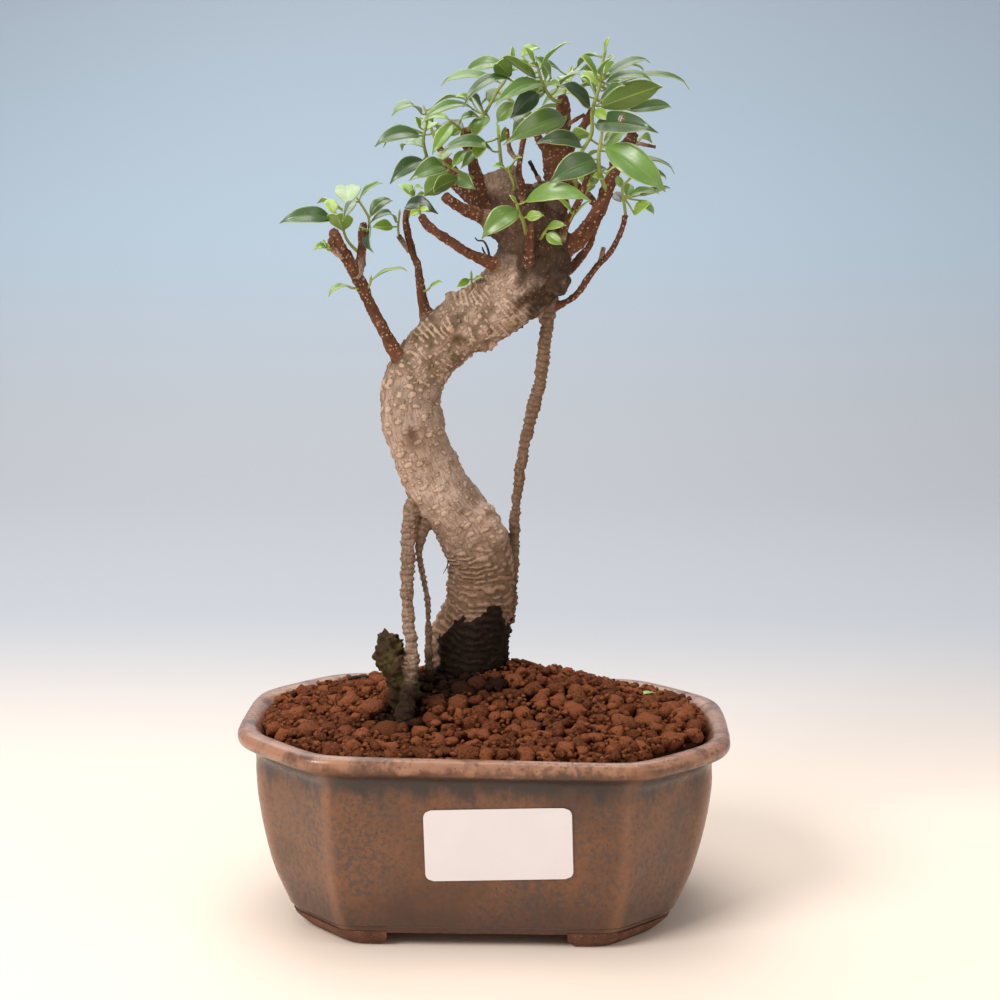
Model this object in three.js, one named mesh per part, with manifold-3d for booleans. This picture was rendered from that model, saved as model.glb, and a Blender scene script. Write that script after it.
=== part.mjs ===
// A small indoor fig trained as a bonsai, in its glazed pot. Millimetres, +Z up, X along the pot, -Y to the
// front.
// The origin is on the surface that the pot stands on, under the pot's middle.
import * as THREE from "three";
import { mergeVertices } from "three/addons/utils/BufferGeometryUtils.js";
import Module from "manifold-3d";

const wasm = await Module();
wasm.setup();

// Driving dimensions of the pot
const POT_LENGTH = 157;
const POT_DEPTH = 108;
const POT_HEIGHT = 62;
const CORNER_CUT = 26; // how much each corner shortens the sum of half length and half depth
const ENDS_TAPER = 12.5; // how much more the ends lean in than the long sides, at the table
const TAPER_TOP = 52; // the height where that lean begins
const CORNER_FADE = 0.85; // how much of that lean the corners lose
const FLOOR_TOP = 11;
const FLOOR_BOTTOM = 4.5;
const POT_SIDES = 32;
const CORNER_SOFTNESS = 18; // the higher, the sharper the plan's eight corners
const FOOT_START = [29, 17]; // where a foot begins, along the pot and across it
const DRAIN_RADIUS = 5;
const DRAIN_SIDES = 20;
const DRAIN_SPACING = 60;
const GAP = 0.3; // clearance between two pieces that touch

// The pot's outer face under the lip, from the bottom up, as [inset from the lip's edge, z]: a low band,
// then the body, straight above FACE_BEND
const BAND_INSET = 8.7;
const FACE_BEND = 40;
const BODY_FACE = [
  [BAND_INSET, FLOOR_BOTTOM],
  [BAND_INSET - 0.1, 6.6],
  [7.9, 7.4],
  [7.6, 9.5],
  [6.4, 17],
  [6, 27],
  [5.6, FACE_BEND],
  [5.7, 52.5],
];
// The flared lip, and the inner face under it, from the outside over the top and down to the floor
const LIP = [
  [4.4, 55],
  [1.2, 57],
  [0, 58.6],
  [0.4, 60.9],
  [1.9, POT_HEIGHT],
  [4.4, POT_HEIGHT],
];
const INNER_FACE = [
  [6, 60.2],
  [7.8, 56.5],
  [9.6, 51],
  [10, 28],
  [13.5, 15],
  [16.5, FLOOR_TOP],
];

// The label on the front face
const LABEL_LENGTH = 44.5;
const LABEL_HEIGHT = 22.3;
const LABEL_THICKNESS = 0.5;
const LABEL_CORNER = 2;
const LABEL_PANELS = 4; // flat panels that the label's bend is made of
const LABEL_MIDDLE = [6.7, 34.2]; // along the pot and up
const LABEL_TILT = Math.tan(THREE.MathUtils.degToRad(1.7)); // its right end sits higher

// The soil
const SOIL_EDGE = 59.5;
const SOIL_INSET = 7.2; // of its top edge, from the lip's edge
const SOIL_SIDE = [
  [17.1, FLOOR_TOP + GAP],
  [14.1, 15.4],
  [10.6, 28],
  [10.2, 51],
  [8.5, 56.2],
];
const SOIL_MOUND = 15;
const MOUND_MIDDLE = [2, 9];
const MOUND_REACH = [52, 34];
const SOIL_DIP = 1.6; // how much lower the soil lies at the back right corner
const GRANULES = 25;
const GRANULE_SMALLEST = 3.4;
const GRANULE_SPREAD = 2.4; // from the smallest to the largest
const FALLEN_LEAF = { x: 52.8, y: 11.8, length: 6.5, width: 2.8, turn: 30 };
const DEAD_TWIG = { x: -41.6, y: 24.6, length: 9, radius: 0.8, turn: 20 };

// The tree was measured in the photograph's view. Its points are [x, z, depth] or [x, z, depth, radius]: x
// and z on the upright plane through the pot's middle, and the depth that each lies behind that plane, along
// the line of sight from EYE. The view is turned from the pot by VIEW_TURN.
const EYE = new THREE.Vector3(5.5, -624, 231);
const VIEW_TURN = THREE.MathUtils.degToRad(2);

const BLADE_THICKNESS = 0.6;
const PETIOLE = 0.45;
const STEM = 0.5;
const BLADE_REACH = 0.3; // how far round a sample of a blade counts as blade
const FREE_FROM = 0.35; // the share of a blade near its base that may touch what carries it
const CLEAR_OF_OTHERS = 1.5;
const CLEAR_OF_OWN = 0.9;

// The draw between 0 and 1 that every scattered thing takes its place from.
function draw(i, k) {
  const s = Math.sin(i * 12.9898 + k * 78.233) * 43758.5453;
  return s - Math.floor(s);
}

// The point on the line of sight through x and z of the middle plane, at a depth behind it.
function seen(x, z, depth) {
  const reach = 1 + depth / -EYE.y;
  return new THREE.Vector3(EYE.x + (x - EYE.x) * reach, depth, EYE.z + (z - EYE.z) * reach);
}

function closedSolid(geometry) {
  const g = geometry.clone();
  g.deleteAttribute("normal");
  g.deleteAttribute("uv");
  const merged = mergeVertices(g, 1e-4);
  const index = merged.index.array;
  const kept = [];
  for (let i = 0; i < index.length; i += 3) {
    const [a, b, c] = [index[i], index[i + 1], index[i + 2]];
    if (a !== b && b !== c && a !== c) kept.push(a, b, c);
  }
  return new wasm.Manifold(
    new wasm.Mesh({
      numProp: 3,
      vertProperties: merged.attributes.position.array,
      triVerts: new Uint32Array(kept),
    }),
  );
}

function geometryOf(solid) {
  const mesh = solid.getMesh();
  const g = new THREE.BufferGeometry();
  g.setAttribute("position", new THREE.BufferAttribute(new Float32Array(mesh.vertProperties), 3));
  g.setIndex(new THREE.BufferAttribute(new Uint32Array(mesh.triVerts), 1));
  g.computeVertexNormals();
  return g;
}

// The largest body of a solid: what a neighbour's hollow cut loose falls away.
function mainBody(solid) {
  const bodies = solid.decompose();
  bodies.sort((a, b) => b.volume() - a.volume());
  return bodies[0];
}

// A limb: a round bar bent along a smooth route, with a radius at each point and cut flat at both ends.
function limbCurve(points) {
  return new THREE.CatmullRomCurve3(
    points.map(([x, z, depth]) => seen(x, z, depth)),
    false,
    "catmullrom",
    0.5,
  );
}

function radiusAt(points, t) {
  const at = t * (points.length - 1);
  const i = Math.min(Math.floor(at), points.length - 2);
  return THREE.MathUtils.lerp(points[i][3], points[i + 1][3], at - i);
}

function limbSolid(points, sides, stepsPerPoint, grow = 0) {
  const steps = (points.length - 1) * stepsPerPoint;
  const curve = limbCurve(points);
  const frames = [];
  let side = null;
  for (let i = 0; i <= steps; i++) {
    const t = i / steps;
    const centre = curve.getPoint(t);
    const along = curve.getTangent(t);
    const firstSide = Math.abs(along.y) < 0.9 ? new THREE.Vector3(0, 1, 0) : new THREE.Vector3(1, 0, 0);
    const reference = side ?? firstSide;
    side = reference.clone().addScaledVector(along, -reference.dot(along)).normalize();
    frames.push({ centre, along, side, other: new THREE.Vector3().crossVectors(along, side) });
  }
  const g = new THREE.CylinderGeometry(1, 1, 1, sides, steps);
  const p = g.attributes.position;
  for (let i = 0; i < p.count; i++) {
    const step = Math.round((p.getY(i) + 0.5) * steps);
    const f = frames[step];
    const r = radiusAt(points, step / steps) + grow;
    const v = f.centre
      .clone()
      .addScaledVector(f.side, p.getZ(i) * r)
      .addScaledVector(f.other, p.getX(i) * r);
    if (grow && (step === 0 || step === steps)) v.addScaledVector(f.along, step ? grow : -grow);
    p.setXYZ(i, v.x, v.y, v.z);
  }
  return closedSolid(g);
}

// The trunk and its limbs
const TRUNK = [
  [-4, 48, 16, 15],
  [-4.4, 66, 16, 15],
  [-4.6, 82, 15, 13.4],
  [-1, 98, 13, 11],
  [-0.4, 113, 11, 10.5],
  [-5.8, 124, 8, 9.9],
  [-12.4, 133, 6, 9.7],
  [-19, 146, 5, 9],
  [-22, 155.4, 5, 9.4],
  [-22.9, 163.2, 6, 8.7],
  [-20.6, 171, 8, 9],
  [-14.8, 178.6, 9, 8.9],
  [-6.6, 186, 9, 9.3],
  [1.8, 190.4, 8, 10],
  [9.2, 196.4, 7, 11.3],
  [15.8, 204.8, 6, 11.7],
  [16, 213, 6, 11.6],
  [12, 220, 6, 9.5],
  [7.5, 227, 7, 6.5],
  [5.5, 233.8, 8, 5],
];
const LIMBS = {
  rightRoot: [
    [20.5, 195, 6, 3],
    [20.2, 187, 6, 2.4],
    [19.2, 177.7, 7, 2.1],
    [18.1, 169.2, 8, 2],
    [15.9, 160.5, 9, 2],
    [14, 152.4, 9, 1.9],
    [12.1, 142.2, 10, 1.8],
    [10.9, 131.2, 11, 1.7],
    [10.2, 123.2, 11, 1.8],
    [10, 112, 11, 1.7],
    [9.4, 98, 12, 1.5],
    [9.5, 91, 13, 1],
  ],
  leftRoot: [
    [-20.5, 134, 4, 3],
    [-23.2, 124, 1, 2.4],
    [-23.7, 113.6, -3, 2.1],
    [-24.1, 98.7, -8, 2],
    [-23.8, 91.5, -10, 2],
    [-22.9, 85.6, -12, 2],
    [-22.9, 75.2, -15, 2.4],
    [-24.8, 64, -18, 3],
    [-26, 55, -20, 2.6],
  ],
  thinRoot: [
    [-17, 127, 4, 2.4],
    [-19.4, 120.4, 2, 1.9],
    [-20, 112.6, 1, 1.1],
    [-18.8, 105.5, 0, 1.1],
    [-17.5, 97.4, 0, 1.1],
    [-17.4, 84, 1, 1.2],
    [-17, 73, 2, 1.4],
    [-16.5, 62, 2, 1.2],
  ],
  mossyStub: [
    [-24, 66, -12, 4],
    [-27, 75, -11, 4.6],
    [-29.6, 81.5, -9, 4.4],
    [-31, 87, -7, 3],
  ],
  leftArm: [
    [-22, 172, 7, 3.2],
    [-27.2, 177.8, 4, 2.4],
    [-31.1, 185.2, 2, 2],
    [-34.8, 192.4, 0, 1.9],
    [-38.1, 199.6, -3, 1.9],
    [-42.9, 208.8, -7, 1.9],
    [-46.1, 215.4, -11, 1.7],
  ],
  leftArmStub: [
    [-43, 207.5, -7, 1.3],
    [-46.2, 209.6, -9.5, 1.2],
    [-47.2, 212.9, -11, 1.1],
  ],
  leftArmFork: [
    [-38.9, 201.5, -4, 1.8],
    [-37.6, 206, -3, 1.5],
    [-37.3, 211, -1, 1.4],
    [-37, 218, 1, 1.3],
  ],
  backArm: [
    [-16.5, 184, 10, 3.4],
    [-18, 191.5, 12, 1.9],
    [-19, 197, 14, 1.5],
    [-20, 204.2, 16, 1.4],
    [-21.9, 209.7, 18, 1.4],
    [-23.7, 218.5, 20, 1.2],
    [-22, 223.4, 21, 1.1],
  ],
  backArmTwig: [
    [-22.4, 209, 18, 1],
    [-24.2, 211.4, 18, 0.9],
    [-25.9, 213.9, 18, 0.9],
  ],
  frontArm: [
    [9, 203.5, 2, 3],
    [2.4, 205.8, -1, 2],
    [-3.1, 207.9, -4, 1.7],
    [-7.7, 210.6, -7, 1.6],
    [-12.6, 213.9, -10, 1.5],
    [-16.6, 216.7, -12, 1.4],
    [-18.8, 220.3, -13, 1.3],
  ],
  leftFork: [
    [10, 215, 5, 6],
    [4, 219.5, 5, 4.8],
    [0.5, 223.5, 6, 3.4],
    [-1, 229, 7, 2.3],
    [-1.9, 233, 8, 1.9],
    [-4, 239.4, 9, 1.6],
    [-4.7, 243, 9, 2],
    [-5, 246.8, 9, 1.7],
  ],
  leftForkLow: [
    [4, 218, 3, 3.6],
    [-0.7, 220, 0, 2.4],
    [-6.2, 222.4, -3, 2.1],
    [-12, 226, -6, 1.8],
  ],
  leftForkHigh: [
    [2, 222, 6, 3.2],
    [-2.5, 225, 8, 2.3],
    [-6.2, 227.9, 10, 2],
    [-9.9, 231.3, 12, 1.9],
    [-13.9, 233.9, 13, 1.8],
  ],
  frontTwig: [
    [12, 221, 0, 1.4],
    [12.4, 228, -3, 1],
    [11.4, 233, -5, 0.9],
    [12, 239.4, -7, 0.8],
    [13.2, 245.4, -8, 0.8],
  ],
  frontTwigFork: [
    [11.8, 236.5, -6, 0.7],
    [8.7, 239.6, -7, 0.7],
    [7.7, 246.4, -8, 0.6],
  ],
  deadStub: [
    [19, 226, 6, 0.7],
    [17.4, 231, 3, 0.6],
    [14.6, 236.6, 0, 0.6],
  ],
  stump: [
    [19, 214, 7, 5],
    [20.4, 222, 5, 4.8],
    [20, 230, 4, 4.3],
  ],
  middleArm: [
    [19.5, 216, 10, 6],
    [22.4, 223, 12, 4.6],
    [23.2, 230.6, 13, 4],
    [22.6, 236.7, 14, 3.9],
    [23, 243, 15, 3.6],
    [24.9, 250.3, 16, 2.6],
    [24.6, 256.6, 16, 1.7],
  ],
  middleArmTwig: [
    [25, 246.8, 15, 0.8],
    [28, 248.8, 12, 0.6],
    [31.3, 250.6, 10, 0.6],
  ],
  thinArm: [
    [23.5, 211, 0, 1.6],
    [26.4, 218, -5, 1.1],
    [30.4, 225.5, -9, 0.9],
    [31.6, 229.4, -10, 0.9],
    [33.2, 234.7, -12, 0.8],
  ],
  rightArm: [
    [21, 206, 5, 5.4],
    [26, 210, 3, 3.4],
    [30.7, 213.8, 2, 2.6],
    [33.8, 218.2, 1, 2.4],
    [36.6, 222.7, 0, 2.2],
    [38.6, 228, 0, 2.1],
    [40.6, 233.5, 2, 2],
    [41.8, 239, 5, 1.9],
    [45.8, 243.4, 8, 1.8],
    [46.8, 245.6, 8, 1.6],
  ],
  rightArmTwig: [
    [45.6, 242.5, 8, 0.8],
    [49, 241.8, 8.5, 0.6],
    [53.2, 240.9, 9, 0.5],
  ],
  crossArm: [
    [21, 233.5, 13, 1.8],
    [25.5, 231.8, 10, 1.3],
    [29.6, 229, 7, 1.2],
    [33.4, 225.4, 4, 1.2],
    [36, 222, 2, 1],
  ],
  rightBackArm: [
    [22, 201, 10, 2.6],
    [26.5, 203, 15, 1.6],
    [30.7, 207.5, 18, 1.4],
    [33.3, 211, 21, 1.3],
    [34.8, 216, 24, 1.2],
    [38, 224, 29, 1.1],
    [40.5, 231, 32, 1],
  ],
  longArm: [
    [17, 190.5, 6, 3],
    [21.6, 191.6, 6, 1.5],
    [26.3, 193.6, 5, 1.2],
    [29.7, 196.2, 4, 1.1],
    [32.8, 200.8, 3, 1.1],
    [35.9, 204.8, 2, 1],
    [39, 207.9, 1, 1],
    [41.2, 211.5, 0, 1],
    [43.2, 216, -1, 1],
    [44.3, 220.4, -2, 1],
  ],
  longArmStub: [
    [36.2, 205, 2, 0.8],
    [37, 207.6, 1.5, 0.7],
    [37.6, 210.2, 1, 0.7],
  ],
  frontStub: [
    [14.1, 204, 0, 2.4],
    [14.3, 206.5, -6, 1.6],
    [14.6, 210, -8, 1.4],
    [14.8, 213.6, -9, 1.3],
    [15.3, 217.6, -10, 1.2],
  ],
  backLimb: [
    [16, 212, 12, 5],
    [19, 220, 20, 3.2],
    [21.5, 229, 26, 2.3],
    [20, 238, 31, 1.7],
    [16.6, 245, 34, 1.3],
  ],
  backRightLimb: [
    [21.5, 233, 16, 2.6],
    [26.5, 240, 23, 1.7],
    [31, 247, 30, 1.4],
    [34, 252.5, 34, 1.2],
  ],
  backLeftLimb: [
    [1.5, 223, 8, 3],
    [-5, 228.5, 17, 1.8],
    [-10, 235.5, 25, 1.5],
    [-14, 242, 30, 1.2],
  ],
};
const LUMPS = [
  [-24.5, 151.5, -3, 3.6],
  [-9.8, 186, 0.5, 3.2],
  [23.5, 199.5, -3, 3.8],
  [-29.5, 164.5, 4, 3.4],
  [5.5, 120, 1.2, 3.6],
  [0.8, 181.6, 6, 3.6],
  [-10.9, 193.4, 6, 2.6],
];

// Leafy shoots. stem is a route with radii from inside the limb outwards. A leaf is
// [x, z, depth of the blade's base, x, z, depth of its tip, width, lean, arch]: lean turns the upper face
// from the sky to the viewer in degrees, and arch is how far the middle stands off the straight line.
const SHOOTS = {
  tuftLeft: {
    stem: [
      [-38.2, 208.6, -1.5, 0.7],
      [-41.3, 211.8, -4, 0.6],
      [-42.8, 215.2, -5, 0.55],
      [-42.5, 218.8, -4.5, 0.5],
      [-41.5, 222.6, -3.5, 0.5],
    ],
    leaves: [
      [-46.5, 218.8, -6, -62.5, 218.2, -13, 6.5, 60, 4],
      [-41.3, 224, -3, -42, 229.6, 8, 9, 5, 0.8],
      [-45.9, 221, -5, -47.4, 225.3, -1, 4.6, 10, 0.4],
      [-43.2, 215.6, -7, -45, 221, -15, 9, 0, 0.8],
      [-42.2, 220.9, -2, -50.5, 224.8, 6, 6, -30, 0.8],
    ],
  },
  tuftInner: {
    stem: [
      [-37, 210.8, -0.5, 0.7],
      [-35.2, 213, 2, 0.6],
      [-35, 218.8, 1.5, 0.55],
      [-36, 221.2, 0, 0.5],
      [-38, 224.4, -2, 0.5],
    ],
    leaves: [
      [-38.1, 224.9, -2, -31.1, 230.4, -6, 5, 35, 1],
      [-39.6, 224.6, -4.6, -42.8, 219.4, -11, 3.6, 20, 1],
      [-34.6, 219.8, 2, -27.7, 225, 6, 5, 35, 2.4],
      [-34.5, 216, 1, -34.6, 209.1, -3, 4, 55, 1.4],
      [-35.5, 214.9, 0, -38, 216.8, -5, 3.2, 30, 0.4],
    ],
  },
  stubBud: {
    stem: [
      [-46.8, 210.2, -10, 0.5],
      [-47.4, 209.4, -12, 0.45],
      [-48, 209.8, -13, 0.45],
    ],
    leaves: [
      [-48.2, 209.9, -13, -52.4, 209.6, -16, 3, 45, 1.6],
      [-48, 210.4, -13, -49.4, 212.2, -17, 2.6, 40, 0.6],
    ],
  },
  lowLeft: {
    stem: [
      [-37.3, 197.4, -2, 0.5],
      [-39.2, 197.6, -4.4, 0.45],
      [-40, 197.7, -5, 0.45],
    ],
    leaves: [[-40, 197.7, -5, -48, 195.7, -11, 4, 12, 1.8]],
  },
  lowRight: {
    stem: [
      [-36.6, 196.4, -1.4, 0.5],
      [-35, 198.6, -3.4, 0.45],
      [-34.7, 199.9, -4, 0.45],
    ],
    leaves: [[-34.7, 200, -4, -23.5, 203.9, -8, 4.4, 15, 1.4]],
  },
  sideSprig: {
    stem: [
      [-25.7, 213.4, 18, 0.5],
      [-26, 216.2, 17, 0.5],
      [-25.6, 220.3, 16, 0.45],
    ],
    leaves: [
      [-27.6, 216.6, 16, -33.9, 216.7, 11, 4.5, 60, 0.8],
      [-26.6, 218, 16, -34.6, 218.2, 7, 4, 30, 3.6],
    ],
  },
  backArmTip: {
    stem: [
      [-22.2, 222.8, 20.8, 0.5],
      [-21.6, 225, 20.5, 0.5],
      [-21.2, 226.2, 20, 0.45],
    ],
    leaves: [
      [-23.6, 223, 15, -13.9, 221, 6, 6.5, 55, 3],
      [-21.4, 226, 19.5, -18.6, 228.8, 13, 3.4, 40, 1.6],
      [-20.6, 225.4, 20, -17.6, 226.6, 16, 3, 50, 0.5],
      [-22.2, 226.4, 21, -25.4, 229.6, 25, 5, 10, 1],
    ],
  },
  backArmLeaf: {
    stem: [
      [-19, 196.6, 13.8, 0.5],
      [-17.4, 197, 11.8, 0.45],
      [-16.8, 197.4, 11, 0.45],
    ],
    leaves: [[-16.8, 197.4, 11, -12.6, 200, 7, 2.8, 40, 0.5]],
  },
  frontArmTip: {
    stem: [
      [-18.9, 219.6, -13, 0.5],
      [-19.2, 221.2, -13.4, 0.45],
      [-19.4, 222.2, -13.8, 0.4],
    ],
    leaves: [
      [-19.6, 221.6, -14, -22.4, 220, -16, 2.4, 50, 0.3],
      [-19.2, 222.2, -14, -16.4, 221.8, -16, 2, 50, 0.3],
    ],
  },
  archSprout: {
    stem: [
      [-3.2, 196.4, 7, 0.5],
      [-3.3, 199, 5.6, 0.45],
      [-3.4, 201.4, 5, 0.4],
    ],
    leaves: [
      [-4, 200.4, 4.6, -7.8, 198.2, 1, 2.6, 60, 0.4],
      [-2.8, 200.4, 5, -0.2, 201.2, 3, 2, 50, 0.3],
    ],
  },
  leftLow: {
    stem: [
      [-1.8, 231.2, 7.2, 0.8],
      [-6.2, 233, 3, 0.7],
      [-9.9, 234.9, 1, 0.6],
      [-12.4, 236.6, -1, 0.55],
    ],
    leaves: [
      [-11.4, 234.8, -2, -22.2, 231.2, -12, 7, 55, 3.2],
      [-12.6, 237, 0, -10.6, 239.2, 8, 5, 5, 0.8],
      [-10.4, 233.6, 0, -17.9, 226.1, 1, 8, -72, 0.8],
      [-7.6, 231.4, 2, -15.6, 227.4, -3, 6.5, -72, 0.6],
      [-7, 232.2, 2, -2.5, 228.3, -6, 5.2, 60, 1.2],
    ],
  },
  leftHigh: {
    stem: [
      [-13.4, 233.4, 12.8, 0.8],
      [-16.2, 236.2, 11, 0.7],
      [-17.8, 240.9, 8.5, 0.65],
      [-17.9, 244, 7.5, 0.55],
      [-17.2, 247.2, 7, 0.5],
    ],
    leaves: [
      [-19.1, 244.3, 6.5, -32.9, 241.6, -1, 6.5, 50, 3.6],
      [-19, 246.7, 7, -20.6, 250.2, 6, 2.8, 60, 0.3],
      [-17, 248, 7, -10, 249.4, -1, 4.6, 40, 2.4],
      [-18, 236.8, 9.5, -28.3, 230.3, 0, 6.5, 45, 3],
      [-18, 241, 10, -25, 240.5, 17, 6.5, 20, 2],
      [-17, 246.2, 8.6, -14.4, 247.6, 17, 6, 10, 1.6],
    ],
  },
  leftKnob: {
    stem: [
      [-5.4, 244.8, 8.5, 0.6],
      [-7.4, 247, 5.4, 0.55],
      [-9.4, 248.6, 4, 0.5],
    ],
    leaves: [
      [-9.2, 248, 3.6, -15.3, 239.1, -5, 5, 35, 1.6],
      [-7, 248, 5, -0.8, 250, 0, 4.5, 40, 2],
      [-7, 246, 4.6, -10.2, 244.3, 0.4, 2.8, 50, 0.6],
    ],
  },
  leftSide: {
    stem: [
      [-3.8, 238.6, 8.6, 0.55],
      [-3.6, 239.8, 6, 0.5],
      [-3.8, 240.2, 4.6, 0.45],
    ],
    leaves: [
      [-5, 239.8, 4, -9.1, 234.8, 0, 3.6, 30, 0.8],
      [-2.6, 239.6, 4, -6.2, 234.9, -2, 3.4, 40, 0.6],
    ],
  },
  upright: {
    stem: [
      [6.4, 232.6, 6.4, 0.8],
      [5.8, 236.6, 1, 0.7],
      [5.3, 241.8, -2, 0.65],
      [4.9, 245.6, -3, 0.5],
    ],
    leaves: [
      [3.6, 239.4, -2.6, -12.8, 239.6, -10, 6.4, 40, 4],
      [0.6, 242.4, -6, -2.2, 237.4, -11, 5, 40, 0.6],
      [5, 244.6, -3, 4.4, 248.6, -5, 3, 60, 0.3],
      [6, 242.6, -1.6, 7.4, 247.2, 1, 3, 60, 0.3],
    ],
  },
  stumpShoot: {
    stem: [
      [9.8, 226, 3, 0.7],
      [9.8, 229.6, -2, 0.65],
      [8.4, 233.4, -4, 0.6],
    ],
    leaves: [
      [8.8, 234, -4.6, 11.4, 238.4, -9.5, 4, 55, 0.5],
      [7.4, 234, -4.4, 3.6, 235.4, -9, 3, 40, 0.8],
    ],
  },
  front: {
    stem: [
      [14, 212.6, -2.5, 0.9],
      [12.8, 218, -8.4, 0.75],
      [11.4, 220.9, -9.6, 0.7],
      [10.7, 223.4, -10.4, 0.55],
    ],
    leaves: [
      [11, 221.8, -10.6, -0.1, 213.3, -17, 8, 55, 3.6],
      [13.4, 224.4, -11, 33.3, 225.3, -20, 7.6, 55, 4],
      [13.6, 219.6, -10, 18.9, 220.3, -13, 3.8, 70, 0.4],
      [10.5, 223.9, -10.6, 8.6, 226.4, -11.6, 1.8, 60, 0.2],
    ],
  },
  frontLow: {
    stem: [
      [16.4, 210.6, -2.5, 0.7],
      [18.6, 213.8, -7.6, 0.6],
      [19.8, 215.6, -9, 0.5],
    ],
    leaves: [
      [20, 216.4, -9.6, 25.8, 217.3, -14, 3.4, 60, 0.6],
      [19.8, 214.4, -9.2, 24.8, 211.3, -12, 4.2, 60, 0.5],
    ],
  },
  centre: {
    stem: [
      [24.8, 248, 15, 0.8],
      [25.6, 249.6, 9, 0.6],
      [25.4, 249.9, 6, 0.5],
    ],
    leaves: [[25, 249.8, 5, 7.4, 242.4, -15, 8.8, 60, 4.8]],
  },
  rightMain: {
    stem: [
      [29, 228.6, 6.6, 0.9],
      [28.8, 233, 1.6, 0.85],
      [30.4, 239, -2, 0.8],
      [33.6, 245, -3, 0.75],
      [33.8, 252, -4, 0.7],
      [35.8, 259, -4, 0.6],
      [37, 267.6, -5, 0.5],
    ],
    leaves: [
      [30.6, 241, -3, 17.1, 242.6, -14, 7.2, 55, 3],
      [32.4, 245.4, -2, 27.4, 243.4, 5, 5.5, -40, 0.6],
      [33.2, 252.7, -5, 24.6, 260, -12, 8.6, 60, 1],
      [35, 256, -3.6, 31.2, 262.4, 2, 6.5, -40, 0.6],
      [36, 254, -6, 43, 260, -16, 5.5, 55, 1],
      [36.4, 253, -3, 55.3, 259.7, -6, 9.6, -62, 1.4],
      [34.8, 247.8, -5, 52.9, 246.2, -17, 8.6, 60, 2.8],
      [34.8, 252, -6, 39.2, 249, -12, 3.8, 60, 0.8],
      [37.2, 261.2, -3, 51.3, 267.4, 2, 5, 30, 2.2],
      [37.4, 259.8, -3, 51.6, 261.8, -9, 5.5, 38, 2.4],
      [41, 260, 2, 63.8, 259.8, 5, 6, 22, 3.2],
      [45, 252, 1, 58.3, 253.4, 6, 5.5, 50, 1],
      [35, 262, -6, 30.4, 268.5, -10, 6, 55, 0.6],
      [36, 263, -7, 40.2, 268.4, -15, 6, 40, 0.8],
      [37.6, 268.4, -5, 38.8, 274.2, -7, 4, 70, 0.4],
      [37.6, 262.6, -3.6, 40.6, 266.8, 3, 4, 40, 0.4],
    ],
  },
  rightFront: {
    stem: [
      [38.2, 227.6, -1, 0.9],
      [36.6, 232, -6, 0.85],
      [35.8, 236.7, -8, 0.8],
      [36.2, 241, -9, 0.7],
      [37, 246.2, -10, 0.5],
    ],
    leaves: [
      [38, 241, -10, 56.5, 227.9, -19, 10.6, 60, 4],
      [34.4, 237.2, -9, 20.9, 230.3, -18, 9.2, 60, 3.2],
      [37.6, 231.6, -7, 34, 232, -8, 3.4, 45, 0.5],
      [38.2, 232.6, -7.6, 41.2, 235.2, -11, 2.8, 30, 0.4],
      [37.4, 241, -8, 43.6, 246, -1, 7, -30, 0.8],
    ],
  },
  longTip: {
    stem: [
      [44.3, 220.2, -2, 0.6],
      [43.9, 223.2, -2.6, 0.6],
      [43.3, 226.4, -3, 0.55],
      [43.4, 229, -3.4, 0.5],
      [45.6, 231.4, -4, 0.45],
      [47.4, 233.4, -5, 0.4],
    ],
    leaves: [
      [42.8, 224.4, -2, 40.6, 227.2, 3.4, 3.6, 30, 0.4],
      [44.6, 226.2, -2, 45.5, 230, 3.6, 3.8, 30, 0.4],
      [45, 225.6, -4, 54.4, 227.3, -9, 3.6, 40, 1.8],
      [46.6, 220.6, -3.4, 51.9, 224.2, -8, 5.2, 60, 0.5],
      [48.6, 224.8, -3.8, 53.2, 220.6, -6, 3.2, 50, 0.6],
      [48.4, 226.2, -4.4, 58, 228.9, -5, 3, 50, 0.6],
      [42.6, 228.8, -3.4, 41.6, 232.3, -1, 2.8, 50, 0.3],
      [49, 233.6, -5, 57.1, 231.5, -2, 3, 45, 1.2],
    ],
  },
  thinArmSide: {
    stem: [
      [26.6, 218, -5, 0.5],
      [27.6, 219.4, -8, 0.45],
      [28, 220.4, -9, 0.4],
    ],
    leaves: [
      [27.6, 221, -9.4, 23.4, 225.4, -11, 2.8, 45, 0.6],
      [28.8, 220.4, -9.6, 33, 224.6, -12.5, 2.4, 40, 0.4],
    ],
  },
  thinArmTop: {
    stem: [
      [31.2, 228, -9.6, 0.5],
      [32.6, 228.6, -7.4, 0.45],
      [33, 229.2, -6.6, 0.4],
    ],
    leaves: [
      [32.4, 229.6, -6.4, 30, 233.4, -3.6, 4, 40, 0.4],
      [33.6, 229.4, -6.4, 35.2, 233.4, -3, 3.8, 40, 0.4],
    ],
  },
  topLeft: {
    stem: [
      [-4.7, 245, 8.8, 0.8],
      [-3, 248, 6, 0.75],
      [0.3, 250.3, 4, 0.7],
      [2.4, 253.6, 3, 0.65],
      [4.6, 257.6, 3, 0.6],
      [7, 261, 3, 0.6],
      [9, 266.2, 3, 0.5],
    ],
    leaves: [
      [0.6, 251, 2.6, -3.9, 257, -4, 7, 55, 0.6],
      [2.4, 249.8, 1, -2.8, 243.6, -8.6, 6, 50, 1.6],
      [2.6, 254, 4.4, 5.4, 259, 11, 6, 10, 0.6],
      [-2.6, 252.4, 5, -18.4, 249, -2, 5, 32, 3.6],
      [9.6, 260.8, 1.4, -5.8, 254, -9, 5.2, 30, 4.6],
      [5.2, 260.6, 4, -12.6, 260.5, 0, 5.6, 32, 2.6],
      [7, 265.4, 4, -5.4, 262.4, 4, 6.6, 50, 3],
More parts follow.
